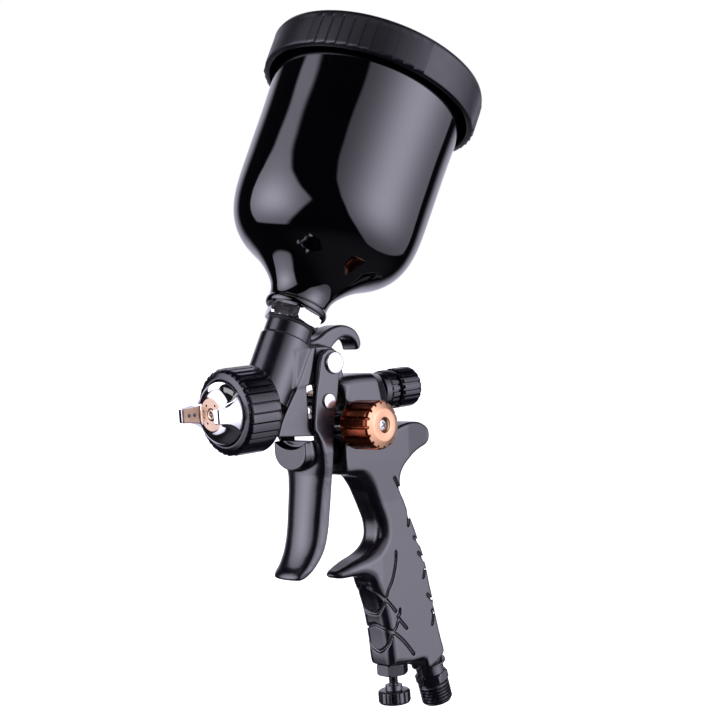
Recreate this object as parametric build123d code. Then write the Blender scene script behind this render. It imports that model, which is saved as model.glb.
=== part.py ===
from build123d import *
import math
import os

# Gravity-feed HVLP spray gun, millimetres, +Z up.
# Origin: centre of the fluid nozzle orifice. The spray leaves along -Y, the needle
# and the rear fluid knob lie on the Y axis, +X is the gun's left side.

# ---------------------------------------------------------------- driving sizes
# Names ending in _r are radii; _y, _z and _h are places along Y, Z and the cup axis.
clearance = 0.05          # radial clearance of a running fit

cup_tilt = 30.0           # rearward lean of the cup axis from vertical, degrees
cup_axis_y = 25.15        # where the cup axis crosses the needle axis
cup_barrel_r = 39.6
cup_rim_r = 40.6
cup_wall = 1.8
cup_foot_h = 41.4
cup_rim_h = 151.0
lid_skirt_h, lid_top_h = 137.4, 154.5
lid_r = 45.4
boss_r, boss_neck_r = 10.26, 9.4
boss_shoulder_h, boss_top_h = 28.93, 34.87
cup_thread_r = 7.9        # M16 x 1.5

ring_front_y, ring_rear_y, ring_r = 6.42, 21.08, 17.0
nose_r = 14.0             # thread under the retaining ring
cap_r = 13.0
nozzle_thread_r = 5.0
nozzle_flange_r = 7.0
nozzle_seal_y = 23.0      # front face of the nozzle seal

needle_r = 1.25
needle_way_r = needle_r + clearance
packing_r = 3.5
packing_y = 35.0
rear_bush_y = 83.2        # front end of the rear bush
rear_bush_r = 6.0
knob_shank_r = 4.0
knob_front_y, knob_rear_y, knob_r = 94.6, 105.0, 8.24

head_w = 10.2             # half thickness of the casting between the trigger plates
plate_in, plate_out = 10.5, 13.07   # inner and outer faces of the trigger plates, +-X
pivot_y, pivot_z = 52.8, 14.8
pivot_r, pivot_head_r, pivot_head_t = 2.5, 4.44, 1.2
pull_y = 48.6             # needle pull studs
stud_r, stud_head_r, stud_head_t = 2.4, 3.12, 0.9

valve_z = -21.5           # air valve axis height
valve_r = 2.0
valve_chamber_r = 5.0
grip_w = 9.0              # half thickness of the handle

fan_tilt = 5.0            # rearward lean of the fan control axis, degrees
fan_face = (29.0, 62.98, -10.85)
fan_r, fan_len = 9.8, 15.6
fan_stem_r, fan_bore_r = 2.0, 4.0

inlet_end = (0.0, 109.5, -135.7)
inlet_tilt = 0.2236       # radians from vertical
inlet_r = 6.7             # 1/4 inch pipe thread, over the crests
inlet_shank_r = 6.0
air_way_r = 3.6
gasket_end = 18.2         # handle seat of the inlet gasket, along the inlet axis

flow_y = 84.4             # air-flow valve, vertical axis
flow_r = 6.75
flow_stem_r, flow_chamber_r = 2.0, 5.0


# ---------------------------------------------------------------- axes
def axis_frame(origin, z_dir, x_dir=(1, 0, 0)):
    return Plane(origin=origin, z_dir=z_dir, x_dir=x_dir)


cup_lean, fan_lean = math.radians(cup_tilt), math.radians(fan_tilt)
CUP = axis_frame((0, cup_axis_y, 0), (0, math.sin(cup_lean), math.cos(cup_lean)))
NEEDLE = axis_frame((0, 0, 0), (0, 1, 0))                 # rearward
VALVE = axis_frame((0, 0, valve_z), (0, 1, 0))            # rearward
# 0 at the outer knob face, negative into the gun
FAN = axis_frame(fan_face, (math.cos(fan_lean), math.sin(fan_lean), 0), (0, 0, 1))
# 0 at the open end, positive up into the handle
INLET = axis_frame(inlet_end, (0, -math.sin(inlet_tilt), math.cos(inlet_tilt)))
FLOW = axis_frame((0, flow_y, 0), (0, 0, -1))             # downward
PIVOT = axis_frame((0, pivot_y, pivot_z), (1, 0, 0), (0, 1, 0))
PULL = axis_frame((0, pull_y, 0), (1, 0, 0), (0, 1, 0))

ON_BASE = (Align.CENTER, Align.CENTER, Align.MIN)


# ---------------------------------------------------------------- helpers
def rod(axis, radius, start, end):
    return axis.offset(start) * Cylinder(radius, end - start, align=ON_BASE)


def tube(axis, outer_r, inner_r, start, end):
    return rod(axis, outer_r, start, end) - rod(axis, inner_r, start - 0.01, end + 0.01)


def hex_prism(axis, across_flats, start, end, turn=0.0):
    hexagon = RegularPolygon(across_flats / 2, 6, major_radius=False, rotation=turn)
    return axis.offset(start) * extrude(hexagon, end - start)


def turned(axis, profile):
    """solid of revolution from (radius, place along the axis) points"""
    face = make_face(Polyline(*[(r, 0, h) for r, h in profile], close=True))
    return axis * revolve(face, axis=Axis.Z)


def duct(start, end, radius, lead=0.0):
    """round hole between two points, begun a lead before the first"""
    step = [b - a for a, b in zip(start, end)]
    length = math.sqrt(sum(v * v for v in step))
    return rod(axis_frame(start, tuple(v / length for v in step)), radius, -lead, length)


def lines(points, close=False):
    """straight run through (y, z) points"""
    return Polyline(*[(0, y, z) for y, z in points], close=close)


def curve(points):
    """smooth run through (y, z) points"""
    return Spline(*[(0, y, z) for y, z in points])


def slab(outline, half_width):
    """closed YZ outline made solid to +-half_width in X"""
    face = make_face(outline)
    return Pos(-half_width, 0, 0) * extrude(face, 2 * half_width, dir=(1, 0, 0))


def side_slab(points, half_width):
    return slab(lines(points, close=True), half_width)


def coil(axis, mean_r, wire_r, start, end, turns):
    """compression spring swept along a helix"""
    height = end - start - 2 * wire_r
    helix = Helix(pitch=height / turns, height=height, radius=mean_r)
    section = Plane(origin=helix @ 0, z_dir=helix % 0) * Circle(wire_r)
    return axis.offset(start + wire_r) * sweep(section, path=helix, is_frenet=True)


def grooved(shape, axis, count, centre_r, centre_h, size):
    """cut boxes of size (radial, tangential, axial) evenly round the axis"""
    for i in range(count):
        groove = Rot(0, 0, i * 360 / count) * (Pos(centre_r, 0, centre_h) * Box(*size))
        shape -= axis * groove
    return shape


def save(name, shape):
    """write the largest solid of the shape"""
    solid = max(shape.solids(), key=lambda s: s.volume)
    solid.label = name
    export_step(solid, f"parts/{name}.step")


os.makedirs("parts", exist_ok=True)

# ================================================================ casting
# side outlines, (y, z)
HEAD_BLOCK = [(21.2, -11.3), (40.0, -10.6), (40.0, 13.0), (35.0, 18.0), (24.0, 10.0), (21.2, 6.0)]
BRIDGE = [
    (36.0, 7.0), (60.0, 7.2), (64.0, 8.2), (60.5, 11.5), (59.5, 16.5), (57.5, 19.0),
    (53.0, 22.0), (46.0, 22.5), (38.0, 22.0),
]
LOWER_WEB = [(38.0, -10.6), (60.0, -10.9), (60.0, -6.2), (38.0, -6.2)]
BARREL = [
    (57.5, -8.0), (58.8, -1.0), (58.6, 4.5), (60.0, 7.4), (66.0, 8.4), (78.0, 7.9),
    (84.0, 7.0), (86.0, 5.6), (86.0, -6.5), (84.0, -8.0),
]
MIDDLE = [
    (58.3, -28.5), (58.3, -12.8), (58.3, -6.0), (86.0, -6.0), (87.5, -14.5),
    (92.0, -15.2), (92.0, -31.5), (86.0, -36.0), (70.0, -36.0), (60.5, -30.0),
]
FOOT = [(94.5, -112.0), (96.6, -114.4), (97.6, -119.2), (107.6, -116.9), (108.6, -112.0)]
NEEDLE_WINDOW = [(40.0, -6.2), (58.3, -6.2), (58.3, 7.0), (40.0, 7.0)]

# handle sections: z, front y, rear y
HANDLE_LEVELS = [
    (-30.0, 68.0, 92.0), (-36.0, 70.8, 90.4), (-42.0, 73.6, 90.6), (-49.0, 76.4, 92.8),
    (-56.0, 78.0, 96.0), (-64.0, 75.2, 98.6), (-72.0, 70.8, 101.2), (-80.0, 71.6, 102.8),
    (-90.0, 74.8, 104.6), (-100.0, 76.7, 106.3), (-108.0, 77.2, 107.7), (-114.0, 77.6, 108.8),
]
# finger rest sections: y, top z, bottom z, half width
REST_STATIONS = [
    (54.2, -69.9, -72.6, 2.6), (56.5, -69.2, -73.4, 4.6), (62.0, -67.4, -73.7, 6.2),
    (70.0, -64.8, -75.0, 7.6), (80.0, -62.0, -78.0, 8.4),
]


def hook():
    """curled hook above the trigger pivot, pointing rearward"""
    outline = (
        lines([(46.2, 18.0), (46.2, 24.0), (50.2, 24.1)])
        + curve([
            (50.2, 24.1), (54.2, 25.0), (58.0, 27.2), (62.0, 28.5), (66.0, 28.8),
            (70.0, 28.0), (73.4, 26.2), (75.4, 23.4), (76.0, 20.6),
        ])
        + lines([(76.0, 20.6), (75.4, 18.4), (73.5, 18.2), (73.4, 19.2)])
        + curve([
            (73.4, 19.2), (72.9, 21.3), (71.3, 23.0), (69.2, 23.9), (67.0, 24.0),
            (64.5, 23.2), (61.6, 21.4), (58.5, 18.6),
        ])
        + lines([(58.5, 18.6), (46.2, 18.0)])
    )
    return slab(outline, 4.9)


def barrel():
    """housing round the needle spring, its rear end narrowed towards the lock ring"""
    shape = side_slab(BARREL, head_w + 0.1)
    for side in (-1, 1):
        corners = [(side * 10.6, 77.0), (side * 10.6, 87.0), (side * 7.8, 87.0)]
        wedge = make_face(Polyline(*corners, close=True))
        shape -= Plane.XY.offset(-20) * extrude(wedge, 40)
    return shape


def rear_horn():
    """rounded horn at the rear, over the top of the handle"""
    outline = (
        lines([(84.0, -14.0), (91.1, -14.8)])
        + curve([
            (91.1, -14.8), (95.0, -14.1), (100.0, -14.3), (104.0, -15.3),
            (106.9, -17.2), (108.2, -20.4), (107.6, -23.8), (105.6, -25.0),
        ])
        + curve([(105.6, -25.0), (101.8, -25.8), (97.5, -27.9), (93.5, -30.9), (90.4, -34.5)])
        + lines([(90.4, -34.5), (84.0, -34.5), (84.0, -14.0)])
    )
    return slab(outline, 8.6)


def handle():
    sections = []
    for z, front, rear in HANDLE_LEVELS:
        section = RectangleRounded(2 * grip_w, rear - front, 5.2)
        sections.append(Plane.XY.offset(z) * (Pos(0, (front + rear) / 2) * section))
    return loft(sections)


def finger_rest():
    """tapering spur below the trigger"""
    sections = []
    for y, top, bottom, half_width in REST_STATIONS:
        corner_r = min(half_width, (top - bottom) / 2) * 0.9
        section = RectangleRounded(2 * half_width, top - bottom, corner_r)
        sections.append(axis_frame((0, y, (top + bottom) / 2), (0, 1, 0)) * section)
    return loft(sections)


def casting_bores():
    way_low, way_bend, way_top = (0, 102.86, -106.47), (0, 86.0, -57.0), (0, 81.0, -24.0)
    fan_passage = axis_frame((0, 22.0, -8.6), (0, 1, 0))
    valve_hole = axis_frame((0, 63.5, -15.0), (0, 0, -1))
    return [
        rod(NEEDLE, 11.0, 8.9, 24.0),                    # air chamber behind the cap
        rod(NEEDLE, nozzle_thread_r, 23.9, 29.0),
        rod(NEEDLE, 4.0, 28.9, 34.0),                    # fluid chamber
        rod(CUP, 4.0, 12.0, boss_top_h + 0.1),           # paint passage
        rod(CUP, cup_thread_r, 24.0, boss_top_h + 0.1),
        duct((0, 31.2, 10.2), (0, 31.8, 1.5), 2.2, lead=1.5),   # down to the fluid chamber
        rod(NEEDLE, needle_way_r, 33.9, 61.1),
        rod(NEEDLE, packing_r, packing_y, 41.0),
        side_slab(NEEDLE_WINDOW, 12.0),
        rod(NEEDLE, 5.0, 61.0, rear_bush_y + 0.05),      # spring bore
        rod(NEEDLE, rear_bush_r, rear_bush_y, 87.0),
        rod(PIVOT, pivot_r + clearance, -12.0, 12.0),
        rod(VALVE, valve_chamber_r, 52.0, 88.0),
        rod(fan_passage, 1.5, 0.0, 40.0),                # fan air passage, lower web
        rod(FAN, fan_bore_r, -34.5, -10.0),
        rod(valve_hole, 1.6, -1.0, 4.0),                 # into the top of the valve chamber
        duct(way_low, way_bend, air_way_r, lead=1.0),    # main air way
        duct(way_bend, way_top, air_way_r),
        Pos(*way_bend) * Sphere(air_way_r),
        rod(INLET, inlet_shank_r, 10.0, 30.0),
        rod(FLOW, flow_chamber_r, 96.0, 125.0),
        duct((0, flow_y, -98.5), (0, 99.8, -97.5), 1.6),   # flow valve to the main air way
        rod(INLET, 16.0, 2.0, gasket_end),               # flat seat of the inlet fitting
    ]


def gun_body():
    body = rod(NEEDLE, nose_r, 12.4, 21.4)
    body += rod(NEEDLE, 13.2, 21.2, 30.0)                # round the nozzle
    body += side_slab(HEAD_BLOCK, head_w)
    body += (
        rod(CUP, boss_r, 2.0, boss_shoulder_h)
        + rod(CUP, boss_neck_r, boss_shoulder_h - 1, boss_top_h)
    )
    body += side_slab(BRIDGE, head_w)
    body += side_slab(LOWER_WEB, 8.5)
    body += hook()
    body += barrel()
    body += side_slab(MIDDLE, head_w - 0.3)
    body += rear_horn()
    body += handle()
    body += side_slab(FOOT, 8.2)
    body += finger_rest()
    for bore in casting_bores():
        body -= bore
    return body


save("gun_body", gun_body())

# ================================================================ air head
# Profiles here and below are (radius, place along the axis).


def cap_horn(side):
    """one horn of the air cap, its inner face leaning outward; outline in (x, y)"""
    outline = [
        (6.2, 0.8), (6.2, 0.2), (9.2, -6.0), (12.0, -5.9), (12.05, 2.0), (12.05, 8.0), (9.2, 6.6),
    ]
    face = make_face(Polyline(*[(side * x, y, 0) for x, y in outline], close=True))
    return Pos(0, 0, -3.0) * extrude(face, 6.0, dir=(0, 0, 1))


def air_cap():
    cap = turned(NEEDLE, [
        (2.45, 0.0), (6.4, 0.0), (6.9, 0.4), (12.4, 6.4), (12.4, 9.8), (cap_r, 9.8),
        (cap_r, 11.0), (12.0, 11.0), (11.2, 10.8), (9.8, 6.4), (7.4, 3.4), (3.4, 1.6), (2.45, 1.6),
    ])
    # keeps the horns out of the hollow of the cap
    hollow = turned(NEEDLE, [
        (0, 1.61), (3.4, 1.61), (7.4, 3.41), (9.8, 6.41), (11.2, 10.81), (11.2, 12.0), (0, 12.0),
    ])
    cap = cap + (cap_horn(-1) + cap_horn(1) - hollow)
    # a pair of air jets square to the inner face of each horn
    for side in (-1, 1):
        for share in (0.38, 0.70):                       # share of the way to the tip
            start = (side * (6.2 + 3.0 * share), 0.2 - 6.2 * share, 0)
            cap -= rod(axis_frame(start, (side * 0.9, 0.436, 0), (0, 0, 1)), 0.5, -1.0, 2.4)
    return cap


def retaining_ring():
    bore_r = nose_r + clearance
    lip_y = ring_front_y - 1.0
    ring = turned(NEEDLE, [
        (bore_r, 11.4), (bore_r, ring_rear_y), (ring_r, ring_rear_y), (ring_r, 8.0),
        (16.2, ring_front_y + 0.4), (15.4, ring_front_y), (13.1, lip_y), (12.6, lip_y),
        (12.6, 9.2), (cap_r + 0.1, 9.6), (cap_r + 0.1, 11.4),
    ])
    return grooved(ring, NEEDLE, 26, ring_r + 0.35, 14.0, (1.5, 1.5, 12.6))


def air_distributor():
    """flat ring with a circle of twelve air holes"""
    disc = turned(NEEDLE, [(5.3, 13.0), (10.9, 13.0), (10.9, 15.0), (5.3, 15.0)])
    for i in range(12):
        angle = math.radians(30 * i)
        centre = (8.2 * math.cos(angle), 13.0, 8.2 * math.sin(angle))
        disc -= rod(axis_frame(centre, (0, 1, 0)), 0.9, -1, 4)
    return disc


save("air_cap", air_cap())
save("retaining_ring", retaining_ring())
save("cap_clip", tube(NEEDLE, 13.9, 12.2, 11.45, 12.3))
save("air_distributor", air_distributor())
save("fluid_nozzle", turned(NEEDLE, [
    (0.9, 0.0), (2.2, 0.0), (2.2, 2.2), (4.4, 6.0), (4.4, 12.9), (5.2, 12.9), (5.2, 15.1),
    (nozzle_flange_r, 15.1), (nozzle_flange_r, nozzle_seal_y),
    (nozzle_thread_r, nozzle_seal_y), (nozzle_thread_r, 28.4), (2.6, 28.4), (2.6, 5.0),
]))
save("nozzle_seal", tube(
    NEEDLE, nozzle_flange_r, nozzle_thread_r + clearance, nozzle_seal_y, nozzle_seal_y + 0.95))

# ================================================================ needle line
needle_rear_y = rear_bush_y + 0.05


def packing_nut():
    head = hex_prism(NEEDLE, 7.4, 40.0, 43.0) - rod(NEEDLE, needle_way_r, 39.9, 43.1)
    return tube(NEEDLE, packing_r, needle_way_r, 36.85, 40.0) + head


def fluid_knob():
    knob = turned(NEEDLE, [
        (1.4, 83.05), (knob_shank_r, 83.05), (knob_shank_r, knob_front_y + 0.6),
        (7.6, knob_front_y), (knob_r, knob_front_y + 0.7), (knob_r, knob_rear_y - 1.2),
        (7.0, knob_rear_y), (0, knob_rear_y), (0, 89.6), (1.4, 89.6),
    ])
    return grooved(knob, NEEDLE, 18, knob_r + 0.25, 99.6, (1.2, 1.3, 8.2))


save("fluid_needle", turned(NEEDLE, [
    (0, -1.2), (0.3, -0.6), (0.85, 0.4), (needle_r, 6.0),
    (needle_r, needle_rear_y), (0, needle_rear_y),
]))
save("needle_packing", tube(NEEDLE, packing_r, needle_way_r, packing_y, packing_y + 1.8))
save("packing_nut", packing_nut())
save("needle_collar", tube(NEEDLE, 4.0, needle_r, pull_y + stud_r + 0.05, 54.4))
save("needle_spring_seat", tube(NEEDLE, 4.7, needle_r, 62.6, 64.2))
save("needle_spring", coil(NEEDLE, 3.6, 0.45, 64.25, 81.0, turns=7))
save("spring_rear_seat", tube(NEEDLE, 3.95, needle_way_r, 81.1, 83.0))
save("rear_bush", tube(NEEDLE, rear_bush_r, knob_shank_r + clearance, rear_bush_y, 94.4))
lock_ring = tube(NEEDLE, 8.1, rear_bush_r + clearance, 87.3, 93.9)
save("lock_ring", grooved(lock_ring, NEEDLE, 20, 8.3, 90.6, (1.0, 1.1, 4.8)))
save("fluid_knob", fluid_knob())

# ================================================================ fan control
fan_way_r = fan_stem_r + clearance


def fan_spindle():
    spindle = turned(FAN, [
        (0, -33.6), (0.7, -33.6), (1.6, -32.4), (fan_stem_r, -31.6), (fan_stem_r, -4.2), (0, -4.2),
    ])
    return spindle - rod(FAN, 1.4, -11.0, -4.0)          # screw hole


def fan_knob():
    knob = turned(FAN, [
        (fan_stem_r, -8.0), (7.2, -8.0), (7.2, -fan_len), (9.0, -fan_len),
        (fan_r, -fan_len + 0.8), (fan_r, -2.2), (8.0, 0.0), (3.4, 0.0), (3.4, -2.2),
        (1.45, -2.2), (1.45, -4.2), (fan_stem_r, -4.2),
    ])
    return grooved(knob, FAN, 16, fan_r + 0.35, -7.6, (1.9, 1.9, 13.0))


def fan_knob_screw():
    """cross-slotted screw in the knob face"""
    screw = turned(FAN, [
        (0, -10.0), (1.4, -10.0), (1.4, -2.2), (2.7, -2.2), (2.7, -1.4), (1.8, -0.7), (0, -0.5),
    ])
    for angle in (0, 90):
        screw -= FAN * (Rot(0, 0, angle) * (Pos(0, 0, -0.9) * Box(3.2, 0.6, 1.4)))
    return screw


save("fan_bush", (
    tube(FAN, fan_bore_r, fan_way_r, -29.2, -18.2)
    + tube(FAN, fan_bore_r + 0.3, fan_way_r, -18.2, -10.5)
))
save("fan_spindle", fan_spindle())
save("fan_seal", tube(FAN, fan_bore_r - 0.05, fan_way_r, -33.0, -31.9))
save("fan_knob", fan_knob())
save("fan_knob_screw", fan_knob_screw())

# ================================================================ trigger
# side outline, (y, z): down the rear edge from the top, then up the front edge
TRIGGER = [
    (47.5, 19.1), (51.1, 20.6), (54.8, 19.4), (57.0, 15.5), (56.6, 12.0), (55.3, 9.5),
    (53.9, 2.7), (52.0, -5.3), (50.6, -12.8), (50.3, -22.0), (50.2, -29.0), (49.5, -34.8),
    (47.9, -43.6), (45.9, -51.9), (43.5, -58.8), (39.6, -64.2), (35.5, -68.3), (31.8, -69.6),
    (29.3, -67.6), (31.3, -65.0), (33.3, -62.0), (35.7, -57.0), (37.3, -51.0), (38.2, -45.0),
    (39.9, -37.0), (40.6, -31.0), (38.4, -27.5), (39.3, -16.0), (41.2, -12.6), (40.2, -9.5),
    (41.0, -4.0), (42.6, 3.9), (44.4, 10.3), (45.7, 16.2),
]
TRIGGER_HOLLOW = [
    (62.0, -17.0), (42.6, -17.0), (42.6, -29.0), (43.6, -32.0), (42.9, -37.0), (41.2, -45.0),
    (40.3, -51.0), (38.8, -57.0), (37.6, -60.5), (62.0, -60.5),
]
# front outlines of the left half, (x, z), from the top down
TRIGGER_HALF = [
    (plate_out, 25), (plate_out, -20), (10.6, -33), (10.2, -55), (8.6, -66), (6.0, -71),
]
HOLLOW_HALF = [(plate_in, 0), (plate_in, -20.5), (8.0, -33), (7.6, -55), (6.6, -63)]
pin_end_x = -11.5         # where the pivot pin meets the pivot screw


def front_slab(half):
    """mirrored front outline made solid along Y, past both faces of the trigger"""
    points = half + [(-x, z) for x, z in reversed(half)]
    face = make_face(Polyline(*[(x, 0, z) for x, z in points], close=True))
    return Pos(0, 20, 0) * extrude(face, 50, dir=(0, 1, 0))


def trigger():
    shape = side_slab(TRIGGER, plate_out) & front_slab(TRIGGER_HALF)
    # gap between the side plates
    shape -= side_slab([(20, -17.9), (80, -17.9), (80, 30), (20, 30)], plate_in)
    shape -= side_slab(TRIGGER_HOLLOW, 20.0) & front_slab(HOLLOW_HALF)
    shape -= rod(PIVOT, pivot_r, -15, 15)
    shape -= rod(PULL, stud_r, -15, 15)
    return shape


def pivot_pin():
    pin = rod(PIVOT, pivot_r, pin_end_x, plate_out)
    pin += rod(PIVOT, pivot_head_r, plate_out, plate_out + pivot_head_t)
    return pin - rod(PIVOT, 1.25, pin_end_x - 0.1, -4.0)


def pivot_screw():
    face_x = -plate_out - pivot_head_t
    screw = rod(PIVOT, pivot_head_r, face_x, -plate_out)
    screw += rod(PIVOT, pivot_r, -plate_out, pin_end_x)
    screw += rod(PIVOT, 1.25, pin_end_x, -4.2)
    return screw - Pos(face_x, pivot_y, pivot_z) * Box(1.0, 5.4, 0.9)   # slot


def span(side, inner, outer):
    """start and end of a stretch along X on the given side"""
    return sorted((side * inner, side * outer))


save("trigger", trigger())
save("pivot_pin", pivot_pin())
save("pivot_screw", pivot_screw())
for hand, side in (("left", 1), ("right", -1)):
    stud = rod(PULL, stud_r, *span(side, 1.5, plate_out))
    stud += rod(PULL, stud_head_r, *span(side, plate_out, plate_out + stud_head_t))
    save(f"pull_stud_{hand}", stud)
    washer = tube(PIVOT, 4.6, pivot_r, *span(side, head_w + 0.05, plate_in))
    save(f"pivot_washer_{hand}", washer)

# ================================================================ air valve
valve_way_r = valve_r + clearance
valve_head_y = 69.6       # stem ends and head begins


def air_valve_nut():
    nut = hex_prism(VALVE, 10.4, 54.6, 58.3) - rod(VALVE, valve_way_r, 54, 59)
    pocket = rod(VALVE, 3.4, 62.6, 66.1)
    return nut + (tube(VALVE, valve_chamber_r, valve_way_r, 58.3, 66.0) - pocket)


save("air_valve_stem", turned(VALVE, [
    (0, 42.7), (0.9, 42.85), (1.6, 43.4), (valve_r, 44.4), (valve_r, valve_head_y),
    (0, valve_head_y),
]))
save("air_valve_nut", air_valve_nut())
save("air_valve_packing", tube(VALVE, 3.35, valve_way_r, 62.7, 65.9))
save("air_valve_seat", tube(VALVE, valve_chamber_r, 3.2, 66.5, 69.5))
save("air_valve_head", turned(VALVE, [
    (0, valve_head_y), (4.2, valve_head_y), (4.2, 71.8), (2.2, 71.8), (2.2, 75.0), (0, 75.0),
]))
save("air_valve_spring", coil(VALVE, 3.3, 0.45, 71.9, 87.8, turns=6))


# ================================================================ air inlet and air-flow valve
def air_inlet_nipple():
    nipple = rod(INLET, inlet_r, 0.6, 9.0)
    nipple += INLET * Cone(inlet_r - 0.6, inlet_r, 0.6, align=ON_BASE)
    nipple += hex_prism(INLET, 12.6, 9.0, 13.2, turn=30)
    nipple += rod(INLET, 6.2, 13.2, 17.4)
    nipple += rod(INLET, inlet_shank_r, 17.4, 28.5)
    return nipple - rod(INLET, air_way_r, -0.1, 29.0)


def flow_bush():
    bush = hex_prism(FLOW, 11.6, 114.0, 118.6) + rod(FLOW, flow_chamber_r, 104.0, 114.0)
    return bush - rod(FLOW, flow_stem_r + clearance, 103, 120)


def flow_knob():
    knob = turned(FLOW, [
        (flow_stem_r, 123.2), (3.6, 123.2), (3.6, 125.3), (flow_r - 0.6, 125.3),
        (flow_r, 125.9), (flow_r, 130.4), (flow_r - 0.6, 131.0), (0, 131.0), (0, 127.5),
        (2.4, 127.5), (2.4, 125.2), (flow_stem_r, 125.2),
    ])
    return grooved(knob, FLOW, 16, flow_r + 0.3, 128.2, (1.2, 1.2, 4.2))


save("air_inlet_nipple", air_inlet_nipple())
save("inlet_gasket", tube(INLET, 7.4, inlet_shank_r + clearance, 17.45, gasket_end))
save("flow_bush", flow_bush())
save("flow_stem", turned(FLOW, [
    (0, 97.0), (1.2, 97.4), (flow_stem_r, 98.6), (flow_stem_r, 125.2), (2.4, 125.2),
    (2.4, 127.5), (0, 127.5),
]))
save("flow_seal", tube(FLOW, flow_chamber_r - 0.1, flow_stem_r, 99.2, 100.6))
save("flow_knob", flow_knob())

# ================================================================ cup
spigot_r = cup_thread_r + 2.2   # hole in the foot of the cup
# upper part of the outside, (radius, height), from the foot to the rim
CUP_OUTSIDE = [
    (spigot_r, cup_foot_h), (12.0, cup_foot_h), (12.5, 43.0), (12.1, 44.6), (12.2, 47.2),
    (14.1, 51.5), (18.2, 56.6), (24.4, 60.6), (30.6, 64.8), (34.4, 68.4), (37.2, 73.6),
    (38.7, 80.0), (39.2, 90.0), (cup_barrel_r, 118.0), (cup_rim_r, cup_rim_h),
]
# inside from the rim down: points one wall in from these, then the neck
CUP_WALL_LINE = [
    (cup_rim_r, cup_rim_h), (cup_barrel_r, 118.0), (39.2, 90.0), (38.7, 80.5), (37.2, 74.4),
    (34.0, 70.0), (30.4, 66.8), (24.0, 62.8), (17.4, 58.6), (12.6, 53.4),
]
CUP_NECK = [(9.6, 48.8), (7.0, 47.0), (7.0, 44.6), (spigot_r, 44.6)]


def cup():
    inside = [(r - cup_wall, h) for r, h in CUP_WALL_LINE]
    return turned(CUP, CUP_OUTSIDE + inside + CUP_NECK)


def cup_adapter_nut():
    base, top = 35.9, 41.35
    rounding = turned(CUP, [
        (0, base), (10.9, base), (11.9, base + 1), (11.9, 40.4), (10.9, top), (0, top),
    ])
    nut = hex_prism(CUP, 20.5, base, top) & rounding
    nut = nut + rod(CUP, spigot_r - 0.1, top, 44.55) + rod(CUP, cup_thread_r - clearance, 27.0, 36.0)
    return nut - rod(CUP, 6.2, 26.0, 45.0)


def cup_lid():
    top, skirt = lid_top_h, lid_skirt_h
    lid = turned(CUP, [
        (0, top - 2.4), (40.9, top - 2.4), (42.4, top - 4.4), (42.4, skirt), (43.9, skirt),
        (44.6, skirt + 2.0), (lid_r - 0.4, top - 3.4), (lid_r - 2.6, top - 0.6), (39.0, top),
        (37.6, top - 0.6), (9.0, top - 0.6), (9.0, top), (0, top),
    ])
    lid -= rod(CUP, 3.0, top - 3.0, top + 1)             # vent hole
    # ten groups of four grip ribs
    for group in range(10):
        for rib in range(4):
            place = Pos(lid_r - 0.15, 0, (skirt + top) / 2)
            angle = 36 * group + 4.2 * rib
            lid += CUP * (Rot(0, 0, angle) * (place * Box(0.7, 1.3, 12.4)))
    return lid


save("cup", cup())
save("cup_adapter_nut", cup_adapter_nut())
save("cup_seal", tube(CUP, 9.2, cup_thread_r, boss_top_h + 0.02, 35.85))
save("cup_strainer", turned(CUP, [
    (7.0, 47.1), (9.2, 48.9), (8.9, 49.6), (6.6, 47.9), (5.4, 47.9), (3.0, 61.5), (0, 61.5),
    (0, 60.9), (2.5, 60.9), (4.9, 47.1),
]))
save("cup_lid", cup_lid())
save("lid_gasket", tube(CUP, 40.7, 37.2, cup_rim_h + 0.02, lid_top_h - 2.45))
save("vent_plug", turned(CUP, [
    (0, lid_top_h - 4.6), (2.2, lid_top_h - 4.6), (2.95, lid_top_h - 3.6), (2.95, lid_top_h),
    (4.6, lid_top_h), (4.6, lid_top_h + 1.2), (3.9, lid_top_h + 2.0), (0, lid_top_h + 2.0),
]))
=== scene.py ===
"""Gravity-feed spray gun: casting, trigger, air cap, controls, paint cup and its studio.

The gun sprays along -Y, +Z is up and +X is its left. The needle lies on the Y axis and the
air cap's face is at y = 0. Shapes are in mm and become metres in add_part; the stage is in metres.
"""
import itertools
import math

import bpy
import numpy as np
from mathutils import Matrix, Vector


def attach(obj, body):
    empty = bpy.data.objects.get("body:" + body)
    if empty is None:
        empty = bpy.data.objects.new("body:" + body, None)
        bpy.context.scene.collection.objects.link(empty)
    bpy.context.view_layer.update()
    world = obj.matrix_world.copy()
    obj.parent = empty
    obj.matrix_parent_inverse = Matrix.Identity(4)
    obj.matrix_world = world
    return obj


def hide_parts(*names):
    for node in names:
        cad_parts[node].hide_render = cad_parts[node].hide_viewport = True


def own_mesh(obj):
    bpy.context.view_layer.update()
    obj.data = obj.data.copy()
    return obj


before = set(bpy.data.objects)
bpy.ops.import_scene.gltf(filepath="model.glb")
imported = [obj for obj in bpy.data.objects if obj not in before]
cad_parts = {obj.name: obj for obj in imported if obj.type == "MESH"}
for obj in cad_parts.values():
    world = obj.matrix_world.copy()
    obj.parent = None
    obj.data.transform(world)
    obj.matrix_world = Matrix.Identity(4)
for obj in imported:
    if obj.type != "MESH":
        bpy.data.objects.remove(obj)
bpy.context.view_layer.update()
MM = 0.001


def detail(full):
    return full


# ---------------------------------------------------------------- local frames
CUP_TILT = math.radians(30.0)
FAN_TILT = math.radians(5.0)
INLET_TILT = 0.2236


def unit(vector):
    vector = np.array(vector, float)
    return vector / np.linalg.norm(vector)


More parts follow.
